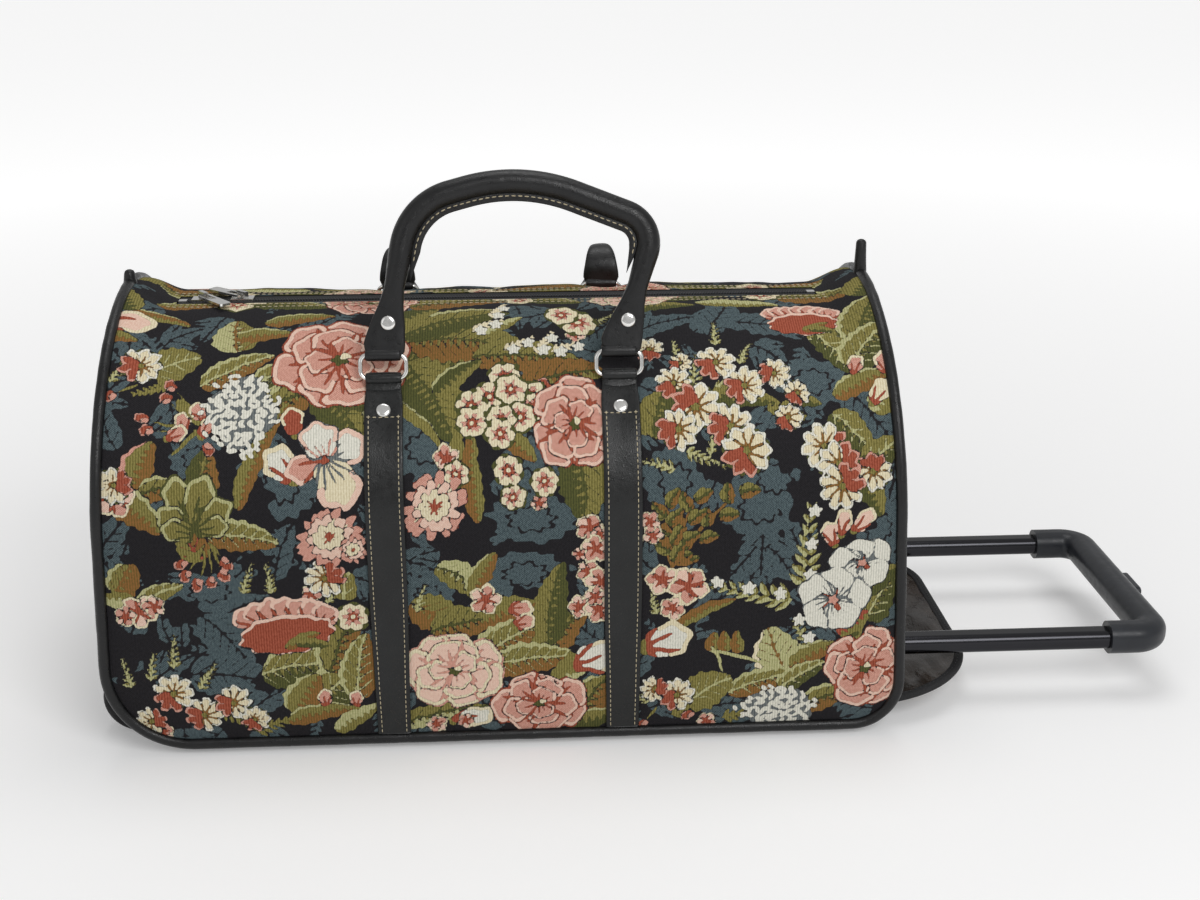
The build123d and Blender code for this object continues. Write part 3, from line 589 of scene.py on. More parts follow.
flap_lining = lining_material()

# Print of the cloth, painted as fields of colour on a flat sheet of fabric

print_step = 0.6
print_x = np.arange(-300, 300, print_step)
print_s = np.arange(-24, 380, print_step)
sheet_x, sheet_s = np.meshgrid(print_x, print_s)
drawn_x = sheet_x + 0.9 * soft_noise(sheet_x, sheet_s, 7, 3)
drawn_s = sheet_s + 0.9 * soft_noise(sheet_x, sheet_s, 7, 4)
print_label = np.zeros(sheet_x.shape, np.int8)


def heading(turn):
    """Cosine and sine of a direction in degrees."""
    return cos(radians(turn)), sin(radians(turn))


def oval_reach(width, height, turn):
    """Size of an oval along a direction."""
    c, n = heading(turn)
    return sqrt((width * c) ** 2 + (height * n) ** 2)


def window(x, s, turn, reach_out):
    """The part of the print round a point, with distances along and across a direction there."""
    part = (
        slice(*np.searchsorted(print_s, (s - reach_out, s + reach_out))),
        slice(*np.searchsorted(print_x, (x - reach_out, x + reach_out))),
    )
    dx, ds = drawn_x[part] - x, drawn_s[part] - s
    c, n = heading(turn)
    return print_label[part], dx * c + ds * n, ds * c - dx * n


def oval(x, s, width, height, colour, turn=0.0, lobes=0, ruffle=0.1):
    """Fills an oval, with a lobed edge where lobes are given."""
    view, a, b = window(x, s, turn, 0.62 * max(width, height) + 2)
    a, b = a / (width / 2), b / (height / 2)
    edge = 1 + ruffle * np.cos(lobes * np.arctan2(b, a) + x) if lobes else 1
    view[np.hypot(a, b) < edge] = colour


def petal(x, s, length, width, turn, fill, edge=None, shade=None, line=None, rays=12, depth=0.16):
    """Petal from its foot at a point: a pale edge, an outline, and shading in rays from the foot."""
    view, far, side = window(x, s, turn, 1.1 * max(length, width) + 2)
    rise = far / length
    across = side / (width / 2)
    belly = np.where(rise < 0.58, (rise - 0.58) / 0.58, (rise - 0.58) / 0.42)
    radius = np.hypot(belly, across) - 0.07 * np.cos(5 * np.arctan2(across, belly) + x)
    inside = radius < 1
    view[inside] = fill
    if edge is not None:
        view[inside & (radius > 0.72) & (rise > 0.4)] = edge
    if shade is not None:
        ray = np.abs(np.cos(rays / 2 * np.arctan2(side, far + 0.1 * length) + s)) ** 5
        view[inside & (rise < depth + 0.5 * ray)] = shade
    if line is not None:
        view[inside & (radius > 0.92)] = line


def leaf(x, s, length, width, turn, fill, second=None, edge=None, vein=None):
    """Pointed leaf centred on a point: two halves, a pale edge and veins where colours are given."""
    view, far, across = window(x, s, turn, 0.6 * length + width / 2 + 2)
    t = far / (length / 2)
    across = across - 0.05 * length * (1 - t * t)
    half = width / 2 * np.sqrt(np.clip(1 - t * t, 0, 1)) * (1.05 - 0.4 * t)
    half = half * (1 + 0.07 * np.cos(0.8 * far))
    share = across / np.maximum(half, 0.01)
    inside = (np.abs(t) < 1) & (np.abs(share) < 1)
    view[inside] = fill
    if second is not None:
        view[inside & (share < -0.15 + 0.3 * np.cos(1.3 * far))] = second
    if vein is not None:
        ribs = (far - 0.9 * np.abs(across) + length) % 7.5 < 1.2
        view[inside & ((np.abs(across) < 0.7) | (ribs & (np.abs(share) < 0.8)))] = vein
    if edge is not None:
        view[inside & (share > 0.74)] = edge


def floret(x, s, size):
    """Small round flower with a red ring and a pale eye."""
    turn = 3 * x
    oval(x, s, 1.12 * size, 1.12 * size, DEEP, turn, 6, 0.06)
    for k in range(6):
        petal(x, s, 0.52 * size, 0.44 * size, turn + 60 * k, CREAM, None, PINK, None, 10, 0.3)
    oval(x, s, 0.34 * size, 0.34 * size, RUST, turn, 6, 0.3)
    oval(x, s, 0.16 * size, 0.16 * size, CREAM)


def daisy(x, s, size, turn):
    """Flower of narrow petals, pale on the lit side and red on the other."""
    oval(x, s, 0.95 * size, 0.95 * size, DEEP, turn, 9, 0.08)
    for k in range(9):
        angle = turn + 180 + 40 * k
        lit = cos(radians(angle - turn)) > -0.25
        colours = (CREAM, WHITE, OCHRE, None) if lit else (RUST, PINK, RUST, None)
        petal(x, s, 0.54 * size, 0.28 * size, angle, *colours)
    oval(x, s, 0.16 * size, 0.16 * size, OLIVE, 0, 5, 0.3)


def blossom(x, s, size):
    """Very small pink flower."""
    turn = 5 * x
    for k in range(5):
        fill = BLUSH if k % 2 else PINK
        petal(x, s, 0.54 * size, 0.46 * size, turn + 72 * k, fill, CREAM, RUST, None, 8)


def peony(x, s, width, height, seed, fill=PINK, edge=BLUSH, shade=RUST):
    """Large full flower with rings of petals."""
    rng = np.random.default_rng(seed)
    for foot, count, length, breadth in ((0.12, 7, 0.41, 0.5), (0.05, 5, 0.36, 0.42), (0.01, 3, 0.26, 0.32)):
        start = rng.uniform(0, 360)
        for k in range(count):
            turn = start + 360 * k / count + rng.uniform(-14, 14)
            c, n = heading(turn)
            long = length * oval_reach(width, height, turn)
            wide = breadth * rng.uniform(0.8, 1.1) * (width + height) / 2
            petal(x + foot * width * c, s + foot * height * n, long, wide, turn, fill, edge, shade, shade)
    oval(x, s - 0.02 * height, 0.12 * width, 0.1 * height, DEEP, 0, 5, 0.25)
    oval(x + 0.04 * width, s + 0.02 * height, 0.08 * width, 0.07 * height, CREAM, 0, 3, 0.2)


def carnation(x, s, width, height, turn):
    """Round fringed flower."""
    rings = ((17, 0.52, 0.17, PINK, CREAM), (13, 0.38, 0.15, BLUSH, PINK), (9, 0.25, 0.14, CREAM, RUST))
    for count, share, breadth, fill, shade in rings:
        for k in range(count):
            angle = turn + 360 * k / count + 9 * sin(5.0 * k)
            long = share * oval_reach(width, height, angle) * (1 + 0.1 * sin(7.0 * k))
            petal(x, s, long, breadth * width, angle, fill, None, shade, RUST)


def hydrangea(x, s, width, height, seed):
    """Ragged ball of very small white flowers on grey."""
    rng = np.random.default_rng(seed)
    oval(x, s, 0.9 * width, 0.9 * height, GREY, 0, 4, 0.12)
    for px in np.arange(-0.55 * width, 0.55 * width, 4.6):
        for ps in np.arange(-0.55 * height, 0.55 * height, 3.9):
            if abs(px / width) ** 1.5 + abs(ps / height) ** 1.5 < 0.4 + rng.uniform(-0.07, 0.07):
                place = x + px + rng.uniform(-1.2, 1.2), s + ps + rng.uniform(-1, 1)
                oval(*place, 5.4, 3, WHITE, rng.choice((-38, 38)) + rng.uniform(-14, 14))


def hibiscus(x, s, width, height, turn):
    """White flower of five broad petals with grey rays and a red heart."""
    for k in range(5):
        angle = turn + 72 * k
        size = oval_reach(width, height, angle)
        petal(x, s, 0.53 * size, 0.5 * width, angle, WHITE, None, GREY, GREY, 22, 0.02)
        petal(x, s, 0.2 * size, 0.08 * width, angle, RUST)
    oval(x, s, 0.14 * width, 0.14 * height, PINK, 0, 5, 0.3)


def poppy(x, s, width, height):
    """Cup-shaped flower with pale ruffles above and a red cup below."""
    for k in range(-3, 4):
        petal(x + 0.11 * width * k, s, 0.5 * height - 0.6 * k * k, 0.3 * width, 90 - 9 * k, PINK, BLUSH, RUST)
    oval(x, s - 0.12 * height, 0.98 * width, 0.64 * height, BLUSH, 6, 11, 0.05)
    oval(x, s - 0.14 * height, 0.93 * width, 0.56 * height, RUST, 6, 11, 0.05)
    leaf(x + 0.16 * width, s - 0.22 * height, 0.42 * width, 0.16 * height, 24, OLIVE, OCHRE)
    leaf(x + 0.26 * width, s - 0.3 * height, 0.36 * width, 0.14 * height, -8, OLIVE, DEEP)


def orchid(x, s, size):
    """White flower of four broad petals with red rays."""
    petal(x, s, 0.9 * size, 0.62 * size, 200, PINK, BLUSH, RUST)
    petal(x, s, size, 0.78 * size, 30, WHITE, BLUSH, GREY, None, 18, 0.04)
    petal(x, s, 0.9 * size, 0.9 * size, 105, WHITE, BLUSH, PINK, GREY, 18, 0.04)
    petal(x, s, 1.15 * size, size, -62, CREAM, BLUSH, GREY, None, 20, 0.04)
    oval(x, s, 0.16 * size, 0.16 * size, RUST, 0, 3, 0.3)


def tulip(x, s, size):
    """Green flower of broad petals with pale edges, the outer ones bent down."""
    inner = ((112, 1.05, 0.6), (78, 1.0, 0.6), (150, 0.75, 0.5))
    outer = ((40, 0.85, 0.5), (176, 0.6, 0.46), (14, 0.62, 0.42))
    for turn, length, width in inner + outer:
        petal(x, s, length * size, width * size, turn, OLIVE, SAGE, DEEP, DEEP, 16, 0.12)


def sprig(x, s, length, turn, pairs, fill, dot=None):
    """Lacy stem with small leaves in pairs, and small flowers on it where a colour is given."""
    second = OLIVE if fill == SAGE else None
    c, n = heading(turn)
    leaf(x + c * length / 2, s + n * length / 2, length, 1.8, turn, fill)
    steps = pairs + 2
    for k in range(steps):
        far = length * (k + 0.5) / steps
        size = (0.12 + 0.9 / steps) * length * (1 - 0.5 * k / steps)
        px, ps = x + c * far, s + n * far
        for side in (-1, 1):
            slant = turn + side * (52 - 3 * k)
            ux, us = heading(slant)
            leaf(px + 0.5 * size * ux, ps + 0.5 * size * us, size, 0.34 * size, slant, fill, second)
        if dot is not None and k % 3 == 1:
            for fifth in range(5):
                petal(px + 2.5 * n, ps - 2.5 * c, 5, 3, 20 + 72 * fifth, dot)


def bud(x, s, width, height, turn, fill):
    """Closed flower in a green cup."""
    c, n = heading(turn)
    oval(x - 0.4 * height * c, s - 0.4 * height * n, 0.7 * width, 0.5 * width, OLIVE, turn)
    petal(x - 0.5 * height * c, s - 0.5 * height * n, height, width, turn, fill, CREAM, RUST)


def berry(x, s, foot_x, foot_s):
    """Red berry on a thin stalk from a foot."""
    turn = degrees(atan2(s - foot_s, x - foot_x))
    leaf((x + foot_x) / 2, (s + foot_s) / 2, hypot(x - foot_x, s - foot_s), 1.6, turn, OLIVE)
    petal(x, s, 10, 8, turn, RUST, PINK)
    petal(x, s, 6, 5, turn + 25, PINK, BLUSH)


def branch(x, s, length, turn, count=7):
    """Brown stem with small green leaves on both sides."""
    c, n = heading(turn)
    leaf(x + c * length / 2, s + n * length / 2, length, 2.6, turn, OCHRE)
    for k in range(count):
        far = length * (k + 0.9) / count
        angle = turn + (42 if k % 2 else -42)
        ux, us = heading(angle)
        leaf(x + c * far + 8 * ux, s + n * far + 8 * us, 15, 9, angle, OLIVE, OCHRE, None, DEEP)


def slate_leaf(x, s, length, width, turn):
    """Leaf in the ground's blue with dark veins."""
    leaf(x, s, length, width, turn, SLATE, None, None, GROUND)


def clearing(x, s, width, height):
    """Lobed patch of bare dark ground."""
    oval(x, s, width, height, GROUND, 0, 7, 0.16)


def slate_flower(x, s, width, height):
    """Full flower in the ground's blue, drawn with a dark ring."""
    oval(x, s, width, height, SLATE, 0, 13, 0.08)
    oval(x, s, 0.54 * width, 0.54 * height, GROUND, 0, 9, 0.14)
    oval(x, s, 0.45 * width, 0.45 * height, SLATE, 0, 9, 0.14)


def paint_ground():
    """Blue leaves and ferns all over the dark ground of the cloth."""
    rng = np.random.default_rng(12)
    for x in np.arange(-296, 300, 33):
        for s in np.arange(-14, 376, 29):
            px, ps = x + rng.uniform(-10, 10), s + rng.uniform(-9, 9)
            turn = rng.uniform(0, 360)
            kind = rng.uniform()
            if kind < 0.5:
                for spread, length in ((-46, 24), (40, 26), (0, 34)):
                    c, n = heading(turn + spread)
                    place = px + 0.4 * length * c, ps + 0.4 * length * n
                    slate_leaf(*place, length, 0.4 * length, turn + spread)
            elif kind < 0.8:
                c, n = heading(turn)
                sprig(px - 12 * c, ps - 12 * n, 32, turn, 4, SLATE)


slate_flowers = (
    (13, 123, 58, 34), (18, 163, 60, 34), (173, 168, 54, 42), (115, 187, 42, 46), (183, 187, 46, 36),
    (213, 254, 52, 36), (-203, 208, 36, 30), (-148, 189, 46, 42), (-200, 116, 50, 26), (-53, 212, 46, 40),
    (21, 207, 42, 50), (-53, 109, 34, 30), (255, 150, 34, 42),
)
slate_leaves = (
    (-193, 80, 58, 26, -52), (-188, 50, 62, 28, -8), (-231, 91, 26, 10, 95), (-220, 88, 26, 10, 85),
    (-250, 92, 34, 16, 60), (-171, 133, 44, 16, 40), (-149, 144, 44, 18, 70), (-160, 36, 50, 18, 30),
    (186, 303, 66, 22, -12), (156, 316, 50, 24, 62), (250, 226, 56, 24, -55), (-10, 149, 42, 16, 30),
    (60, 168, 40, 10, -80), (70, 148, 36, 10, -112), (-262, 232, 36, 16, 110), (-258, 160, 40, 16, 50),
    (173, 138, 40, 20, -88), (160, 128, 32, 14, -130), (188, 128, 32, 14, -50), (206, 196, 60, 14, 60),
    (190, 218, 44, 16, 20), (110, 305, 60, 18, 20), (-45, 150, 40, 16, -20), (148, 100, 46, 9, 22),
    (215, 76, 34, 14, 10), (96, 60, 40, 16, 60), (170, 10, 50, 14, 20), (-70, 30, 40, 14, 60),
)
clearings = (
    (-240, 138, 30, 30), (-262, 74, 34, 30), (-219, 102, 26, 20), (-171, 180, 34, 32), (-186, 202, 18, 28),
    (-165, 47, 22, 14), (-167, 138, 24, 14), (-28, 150, 42, 50), (12, 98, 30, 30), (40, 112, 18, 36),
    (10, 143, 40, 8), (139, 198, 18, 20), (196, 208, 36, 34), (207, 172, 28, 44), (146, 136, 24, 40),
    (165, 84, 60, 24), (126, 54, 34, 40), (152, 56, 40, 24), (238, 160, 36, 24), (163, 291, 30, 20),
)
leaves = (
    (-182, 306, 36, 28, 95, SAGE, OLIVE, SAGE, OCHRE), (-163, 304, 40, 13, 5, OLIVE, OCHRE, SAGE),
    (-179, 272, 54, 18, 28, OLIVE, OCHRE, SAGE, SAGE), (-153, 267, 40, 17, 32, OLIVE, DEEP, SAGE, SAGE),
    (-150, 254, 26, 10, 22, OLIVE, None, SAGE), (-220, 278, 34, 27, 20, OLIVE, None, None, SAGE),
    (-136, 250, 48, 24, 25, OLIVE, OCHRE, SAGE, DEEP), (-108, 234, 54, 28, -52, OLIVE, DEEP, SAGE, DEEP),
    (-94, 247, 42, 22, -12, OLIVE, DEEP, None, SAGE), (-160, 210, 80, 12, 64, OLIVE, OCHRE),
    (-240, 205, 34, 21, 65, OLIVE, OCHRE, PINK), (-228, 188, 28, 15, 10, OLIVE, OCHRE, SAGE, DEEP),
    (-244, 172, 40, 20, -40, OLIVE, OCHRE, SAGE), (-198, 199, 34, 20, 85, DEEP, OCHRE, None, OLIVE),
    (-175, 154, 48, 21, -8, OLIVE, OCHRE, SAGE, SAGE), (-209, 152, 28, 19, 120, OLIVE, OCHRE, None, RUST),
    (-255, 126, 28, 21, 60, OLIVE, OCHRE, SAGE, OCHRE), (-233, 114, 36, 13, 25, OLIVE, None, SAGE, SAGE),
    (-262, 112, 26, 11, 172, SAGE, OLIVE), (-138, 57, 62, 28, 8, OLIVE, DEEP, SAGE, SAGE),
    (-112, 46, 58, 28, 40, OLIVE, DEEP, SAGE, SAGE), (-112, 75, 48, 26, 65, OLIVE, OCHRE, SAGE, DEEP),
    (-139, 37, 36, 23, 60, OLIVE, OCHRE, SAGE), (-100, 58, 50, 24, 82, OLIVE, OCHRE, SAGE, SAGE),
    (-128, 21, 52, 13, 10, OLIVE, OCHRE, SAGE), (-104, 17, 40, 12, 30, SAGE, OLIVE),
    (-108, 118, 22, 15, 80, OLIVE, None, None, SAGE), (-52, 282, 72, 44, -25, OLIVE, DEEP, None, DEEP),
    (-50, 246, 68, 38, -62, OLIVE, DEEP, None, DEEP), (-22, 290, 82, 36, -8, OLIVE, OCHRE, None, DEEP),
    (17, 276, 74, 26, -4, OLIVE, OCHRE, None, DEEP), (42, 260, 60, 26, 12, OCHRE, OLIVE, None, DEEP),
    (-32, 313, 78, 26, 16, OLIVE, DEEP, SAGE, DEEP), (-62, 324, 42, 20, 30, DEEP, OLIVE),
    (-30, 262, 42, 15, 40, DEEP, OLIVE, SAGE), (2, 308, 34, 9, 35, SAGE, OLIVE),
    (-19, 193, 64, 12, 92, OCHRE, OLIVE), (-30, 213, 26, 10, 80, OLIVE), (11, 211, 28, 13, -40, OLIVE, OCHRE),
    (52, 182, 42, 31, -86, OLIVE, DEEP, None, DEEP), (-58, 228, 56, 8, -45, OLIVE, None, SAGE),
    (-46, 91, 46, 25, -30, OLIVE, OCHRE, None, OCHRE), (-29, 86, 48, 24, 10, OLIVE, OCHRE, None, DEEP),
    (2, 95, 38, 21, 20, OLIVE, OCHRE), (3, 73, 54, 26, 30, OLIVE, OCHRE, SAGE, SAGE),
    (38, 76, 56, 24, 52, OLIVE, OCHRE, None, DEEP), (34, 101, 62, 21, 80, OLIVE, DEEP, None, DEEP),
    (19, 57, 62, 22, 6, OLIVE, OCHRE, SAGE, SAGE), (58, 26, 46, 28, 60, OLIVE, OCHRE, SAGE, DEEP),
    (49, 52, 46, 17, 40, OLIVE, SAGE), (-27, 117, 50, 19, -35, SAGE, OLIVE, None, DEEP),
    (-15, 124, 36, 15, 62, OLIVE, OCHRE, SAGE), (-45, 17, 64, 15, 12, OLIVE, SAGE, None, DEEP),
    (62, 10, 44, 15, 10, OLIVE, DEEP, SAGE), (106, 232, 36, 28, 75, OLIVE, DEEP, None, DEEP),
    (241, 299, 58, 28, 20, OLIVE, DEEP, SAGE, SAGE), (258, 309, 54, 32, 70, OLIVE, DEEP, SAGE, DEEP),
    (231, 278, 42, 19, -60, OLIVE, DEEP, None, SAGE), (256, 284, 52, 26, 50, OLIVE, DEEP, SAGE, SAGE),
    (247, 252, 44, 15, 25, OLIVE, OCHRE, SAGE), (262, 243, 32, 17, 60, SAGE, OLIVE),
    (237, 216, 40, 19, -50, OLIVE, DEEP, None, SAGE), (258, 202, 34, 20, 40, OLIVE, DEEP, None, SAGE),
    (249, 174, 34, 17, -62, OLIVE, DEEP), (188, 62, 36, 31, 110, SAGE, SAGE, CREAM, OCHRE),
    (183, 36, 58, 17, 14, OLIVE, OCHRE, SAGE, SAGE), (215, 57, 40, 15, 25, OLIVE, OCHRE, SAGE),
    (207, 41, 40, 15, 32, OLIVE, DEEP, SAGE, SAGE), (226, 22, 48, 18, 20, OLIVE, OCHRE, SAGE, DEEP),
    (142, 32, 34, 27, 30, OLIVE, None, None, SAGE), (143, 69, 15, 9, 82, OCHRE, OLIVE),
    (151, 69, 17, 9, 90, OCHRE, OLIVE), (160, 68, 17, 9, 96, OCHRE, OLIVE), (165, 53, 54, 2.4, -20, SAGE),
    (146, 54, 26, 2, -70, SAGE), (259, 98, 38, 24, 60, OLIVE, DEEP, None, SAGE),
    (258, 113, 32, 18, 30, OLIVE, DEEP, None, DEEP), (241, 80, 26, 18, 40, RUST, OLIVE),
    (137, 91, 48, 9, 25, OCHRE, OLIVE), (170, 240, 40, 11, -6, OLIVE, DEEP),
    (150, 244, 34, 11, 30, OLIVE, DEEP), (205, 240, 26, 10, -10, OLIVE, DEEP), (-207, 240, 30, 8, 140, OLIVE),
    (-205, 222, 40, 2.4, 40, OLIVE), (240, 60, 30, 16, 70, DEEP, OLIVE),
    (-262, 300, 30, 10, -10, OLIVE, OCHRE), (-236, 322, 44, 10, -14, OCHRE, OLIVE, SAGE),
    (-140, 322, 50, 14, 8, OLIVE, OCHRE, SAGE), (110, 330, 60, 16, 4, OLIVE, DEEP),
    (170, 335, 60, 14, -6, SAGE, OLIVE), (-215, 350, 56, 18, 10, OLIVE, OCHRE, SAGE),
    (-150, 348, 60, 20, -12, OLIVE, DEEP, SAGE, DEEP), (-30, 346, 70, 24, 6, OLIVE, OCHRE, None, DEEP),
    (30, 350, 60, 20, -14, OLIVE, DEEP, SAGE), (140, 354, 60, 20, 10, OLIVE, DEEP, SAGE, DEEP),
    (230, 346, 60, 24, -8, OLIVE, OCHRE, SAGE, DEEP), (262, 352, 40, 18, 60, OLIVE, DEEP),
    (-262, 350, 44, 18, 110, DEEP, OLIVE),
)
sprigs = (
    (149, 285, 24, 88, 4, SAGE), (163, 268, 22, 62, 4, SAGE), (122, 274, 18, 100, 3, SAGE),
    (116, 195, 26, 165, 4, SAGE), (122, 206, 30, -22, 5, SAGE), (140, 203, 20, 80, 3, SAGE),
    (131, 248, 30, 82, 4, SAGE), (179, 232, 24, 15, 4, OLIVE), (190, 240, 20, -40, 3, OLIVE),
    (145, 250, 20, 20, 3, SAGE), (206, 106, 62, 88, 6, SAGE, WHITE), (199, 99, 60, 167, 6, SAGE, WHITE),
    (212, 62, 26, 120, 3, SAGE, WHITE), (-228, 58, 26, 85, 4, SAGE), (-212, 42, 24, 60, 4, SAGE),
    (-258, 44, 24, 100, 4, SAGE), (-244, 50, 22, 80, 3, SAGE), (-178, 112, 26, 70, 4, SAGE),
    (-158, 112, 26, 95, 5, SAGE), (-122, 104, 22, 60, 4, SAGE), (-20, 303, 24, 30, 4, CREAM, WHITE),
    (-6, 316, 26, 70, 5, CREAM, WHITE), (2, 284, 24, 30, 4, CREAM, WHITE), (24, 280, 24, 60, 4, CREAM, WHITE),
    (34, 282, 22, 20, 3, CREAM, WHITE), (-90, 330, 24, 60, 4, SAGE), (64, 308, 24, 50, 4, SAGE),
    (104, 90, 22, 100, 4, SAGE), (-62, 96, 22, 70, 4, SAGE), (-225, 262, 24, 200, 4, OLIVE),
    (-262, 262, 24, 60, 4, SAGE), (-208, 30, 30, -30, 4, OLIVE), (-178, 8, 30, 20, 4, OLIVE),
    (114, 12, 26, 20, 4, OLIVE), (150, 8, 30, 10, 4, OLIVE), (100, 24, 24, 150, 4, SAGE),
)
daisies = (
    (123, 270, 16, 30), (102, 283, 20, 90), (147, 270, 27, 40), (117, 254, 25, 60), (166, 252, 27, 30),
    (187, 261, 22, 0), (201, 246, 18, 60), (194, 228, 19, 60), (131, 237, 33, -30), (154, 223, 31, 10),
    (118, 221, 28, 20), (164, 206, 33, 60), (251, 190, 25, -80), (218, 208, 31, 170), (227, 196, 29, 205),
    (229, 181, 31, 225), (-230, 41, 27, 60), (-210, 24, 26, 20), (-190, 33, 24, 20), (-176, 19, 20, 60),
    (-247, 19, 22, 200), (-244, 277, 27, 20), (118, 29, 25, 30), (102, 34, 19, 200), (-122, 124, 27, 210),
    (-258, 192, 24, 200),
)
florets = (
    (2, 262, 21), (20, 248, 19), (20, 239, 20), (-9, 247, 21), (6, 252, 22), (-21, 241, 20), (-21, 229, 21),
    (12, 232, 20), (-1, 231, 20), (-2, 221, 20), (3, 196, 20), (6, 178, 16), (27, 188, 18), (-32, 194, 17),
    (54, 311, 25), (43, 321, 22), (-105, 94, 20), (-188, 352, 24), (-176, 362, 20), (2, 362, 22),
    (14, 352, 20), (190, 356, 24), (204, 364, 20),
)
blossoms = (
    (57, 156, 19), (64, 151, 12), (61, 141, 19), (50, 137, 10), (56, 124, 17), (64, 116, 22), (50, 98, 17),
    (63, 95, 20), (61, 105, 15), (107, 117, 22), (125, 112, 27), (114, 95, 17), (100, 150, 14), (98, 160, 14),
    (-38, 205, 18), (23, 174, 12), (-14, 105, 22), (-248, 102, 24), (-238, 106, 16), (-258, 99, 15),
    (-30, 12, 12), (-50, 10, 14), (-258, 184, 26), (-132, 112, 14), (-240, 10, 16), (140, 6, 14),
    (52, 298, 14),
)
berries = (
    (-213, 140, -200, 152), (-212, 132, -202, 150), (-206, 126, -201, 148), (-198, 128, -199, 148),
    (-191, 132, -198, 150), (-190, 140, -199, 152), (-222, 248, -206, 236), (-220, 257, -204, 240),
    (-236, 236, -208, 230), (-232, 228, -210, 228), (-199, 218, -206, 228), (-258, 255, -244, 262),
    (31, 251, 40, 240), (130, 14, 140, 20), (96, 8, 104, 20),
)
buds = (
    (-213, 233, 11, 15, 100, PINK), (-203, 240, 11, 15, 120, PINK), (-197, 229, 11, 15, 60, PINK),
    (-217, 225, 11, 15, 30, PINK), (-127, 34, 10, 13, 90, PINK), (-105, 33, 10, 13, 90, PINK),
    (-140, 232, 15, 20, 100, RUST), (-148, 203, 22, 27, 130, WHITE), (61, 59, 24, 32, 20, WHITE),
    (111, 71, 26, 34, 20, WHITE), (222, 148, 12, 19, 115, BLUSH), (230, 156, 12, 20, 85, BLUSH),
    (244, 157, 12, 20, 45, BLUSH), (244, 267, 11, 16, 80, PINK), (263, 268, 14, 18, 100, PINK),
    (258, 246, 14, 21, 60, CREAM), (10, 97, 14, 17, 0, PINK), (12, 87, 12, 15, 10, PINK),
    (-25, 15, 16, 30, 10, WHITE), (-258, 317, 22, 40, -8, BLUSH),
)
branches = ((111, 122, 74, 50), (112, 122, 54, 72), (114, 124, 46, 96))
peonies = (
    (-110, 280, 92, 72, 1), (-92, 352, 64, 40, 8), (96, 356, 66, 38, 9, BLUSH, CREAM, PINK),
    (48, 227, 54, 66, 2), (-37, 52, 68, 54, 3, BLUSH, CREAM, PINK), (22, 25, 66, 42, 4), (251, 46, 56, 62, 5),
)
hydrangeas = ((-175, 240, 48, 56, 6), (191, 15, 54, 34, 7))
carnations = ((-118, 154, 44, 40, 0), (-102, 145, 20, 20, 30), (-47, 173, 46, 44, 10))
poppies = ((-150, 88, 66, 46), (213, 312, 52, 40))
hibiscuses = ((245, 126, 44, 34, 30), (226, 99, 50, 46, 12))
tulips = ((-206, 160, 38),)
orchids = ((-119, 205, 30),)

# What is drawn over the ground, each kind over those before it
drawings = (
    (slate_leaf, slate_leaves), (slate_flower, slate_flowers), (clearing, clearings), (leaf, leaves),
    (tulip, tulips), (branch, branches), (sprig, sprigs), (berry, berries), (bud, buds), (blossom, blossoms),
    (daisy, daisies), (floret, florets), (peony, peonies), (hydrangea, hydrangeas), (orchid, orchids),
    (carnation, carnations), (poppy, poppies), (hibiscus, hibiscuses),
)


def paint_print():
    """Lays the whole print, from the ground leaves up to the large flowers."""
    paint_ground()
    for draw, places in drawings:
        for place in places:
            draw(*place)


def blurred(mask):
    """Mask with its edge softened over a couple of steps, ready to sample at mesh points."""
    soft = mask.astype(np.float32)
    for axis in (0, 1):
        soft = (np.roll(soft, 1, axis) + 2 * soft + np.roll(soft, -1, axis)) / 4
    return soft


paint_print()
print_masks = np.stack([blurred(print_label == yarn) for yarn in range(SLATE, GREY + 2)], axis=-1)


def print_at(x, s):
    """Share of each yarn at points of the fabric, between the steps of the sheet."""
    u = np.clip((x - print_x[0]) / print_step, 0, print_x.size - 1.01)
    v = np.clip((s - print_s[0]) / print_step, 0, print_s.size - 1.01)
    column, row = u.astype(int), v.astype(int)
    return between(print_masks, row, column, (u - column)[..., None], (v - row)[..., None])


def lay_print(piece, x, s):
    """Stores a cloth piece's place on the fabric and the print there."""
    x, s = np.ravel(x), np.ravel(s)
    attributes = piece.data.attributes
    shares = print_at(x, s).astype(np.float32)
    for k, name in enumerate(print_layers):
        layer = attributes.new(name, "FLOAT_COLOR", "POINT")
        layer.data.foreach_set("color", shares[:, 4 * k:4 * k + 4].ravel())
    place = points_of(x, s, 0).astype(np.float32)
    attributes.new("fabric", "FLOAT_VECTOR", "POINT").data.foreach_set("vector", place.ravel())


# Cloth panels

panel_height = 355
front_pitch = 1.05
back_pitch = 1.7
well_half_width = 116
well_top = 104
well_corner = 44


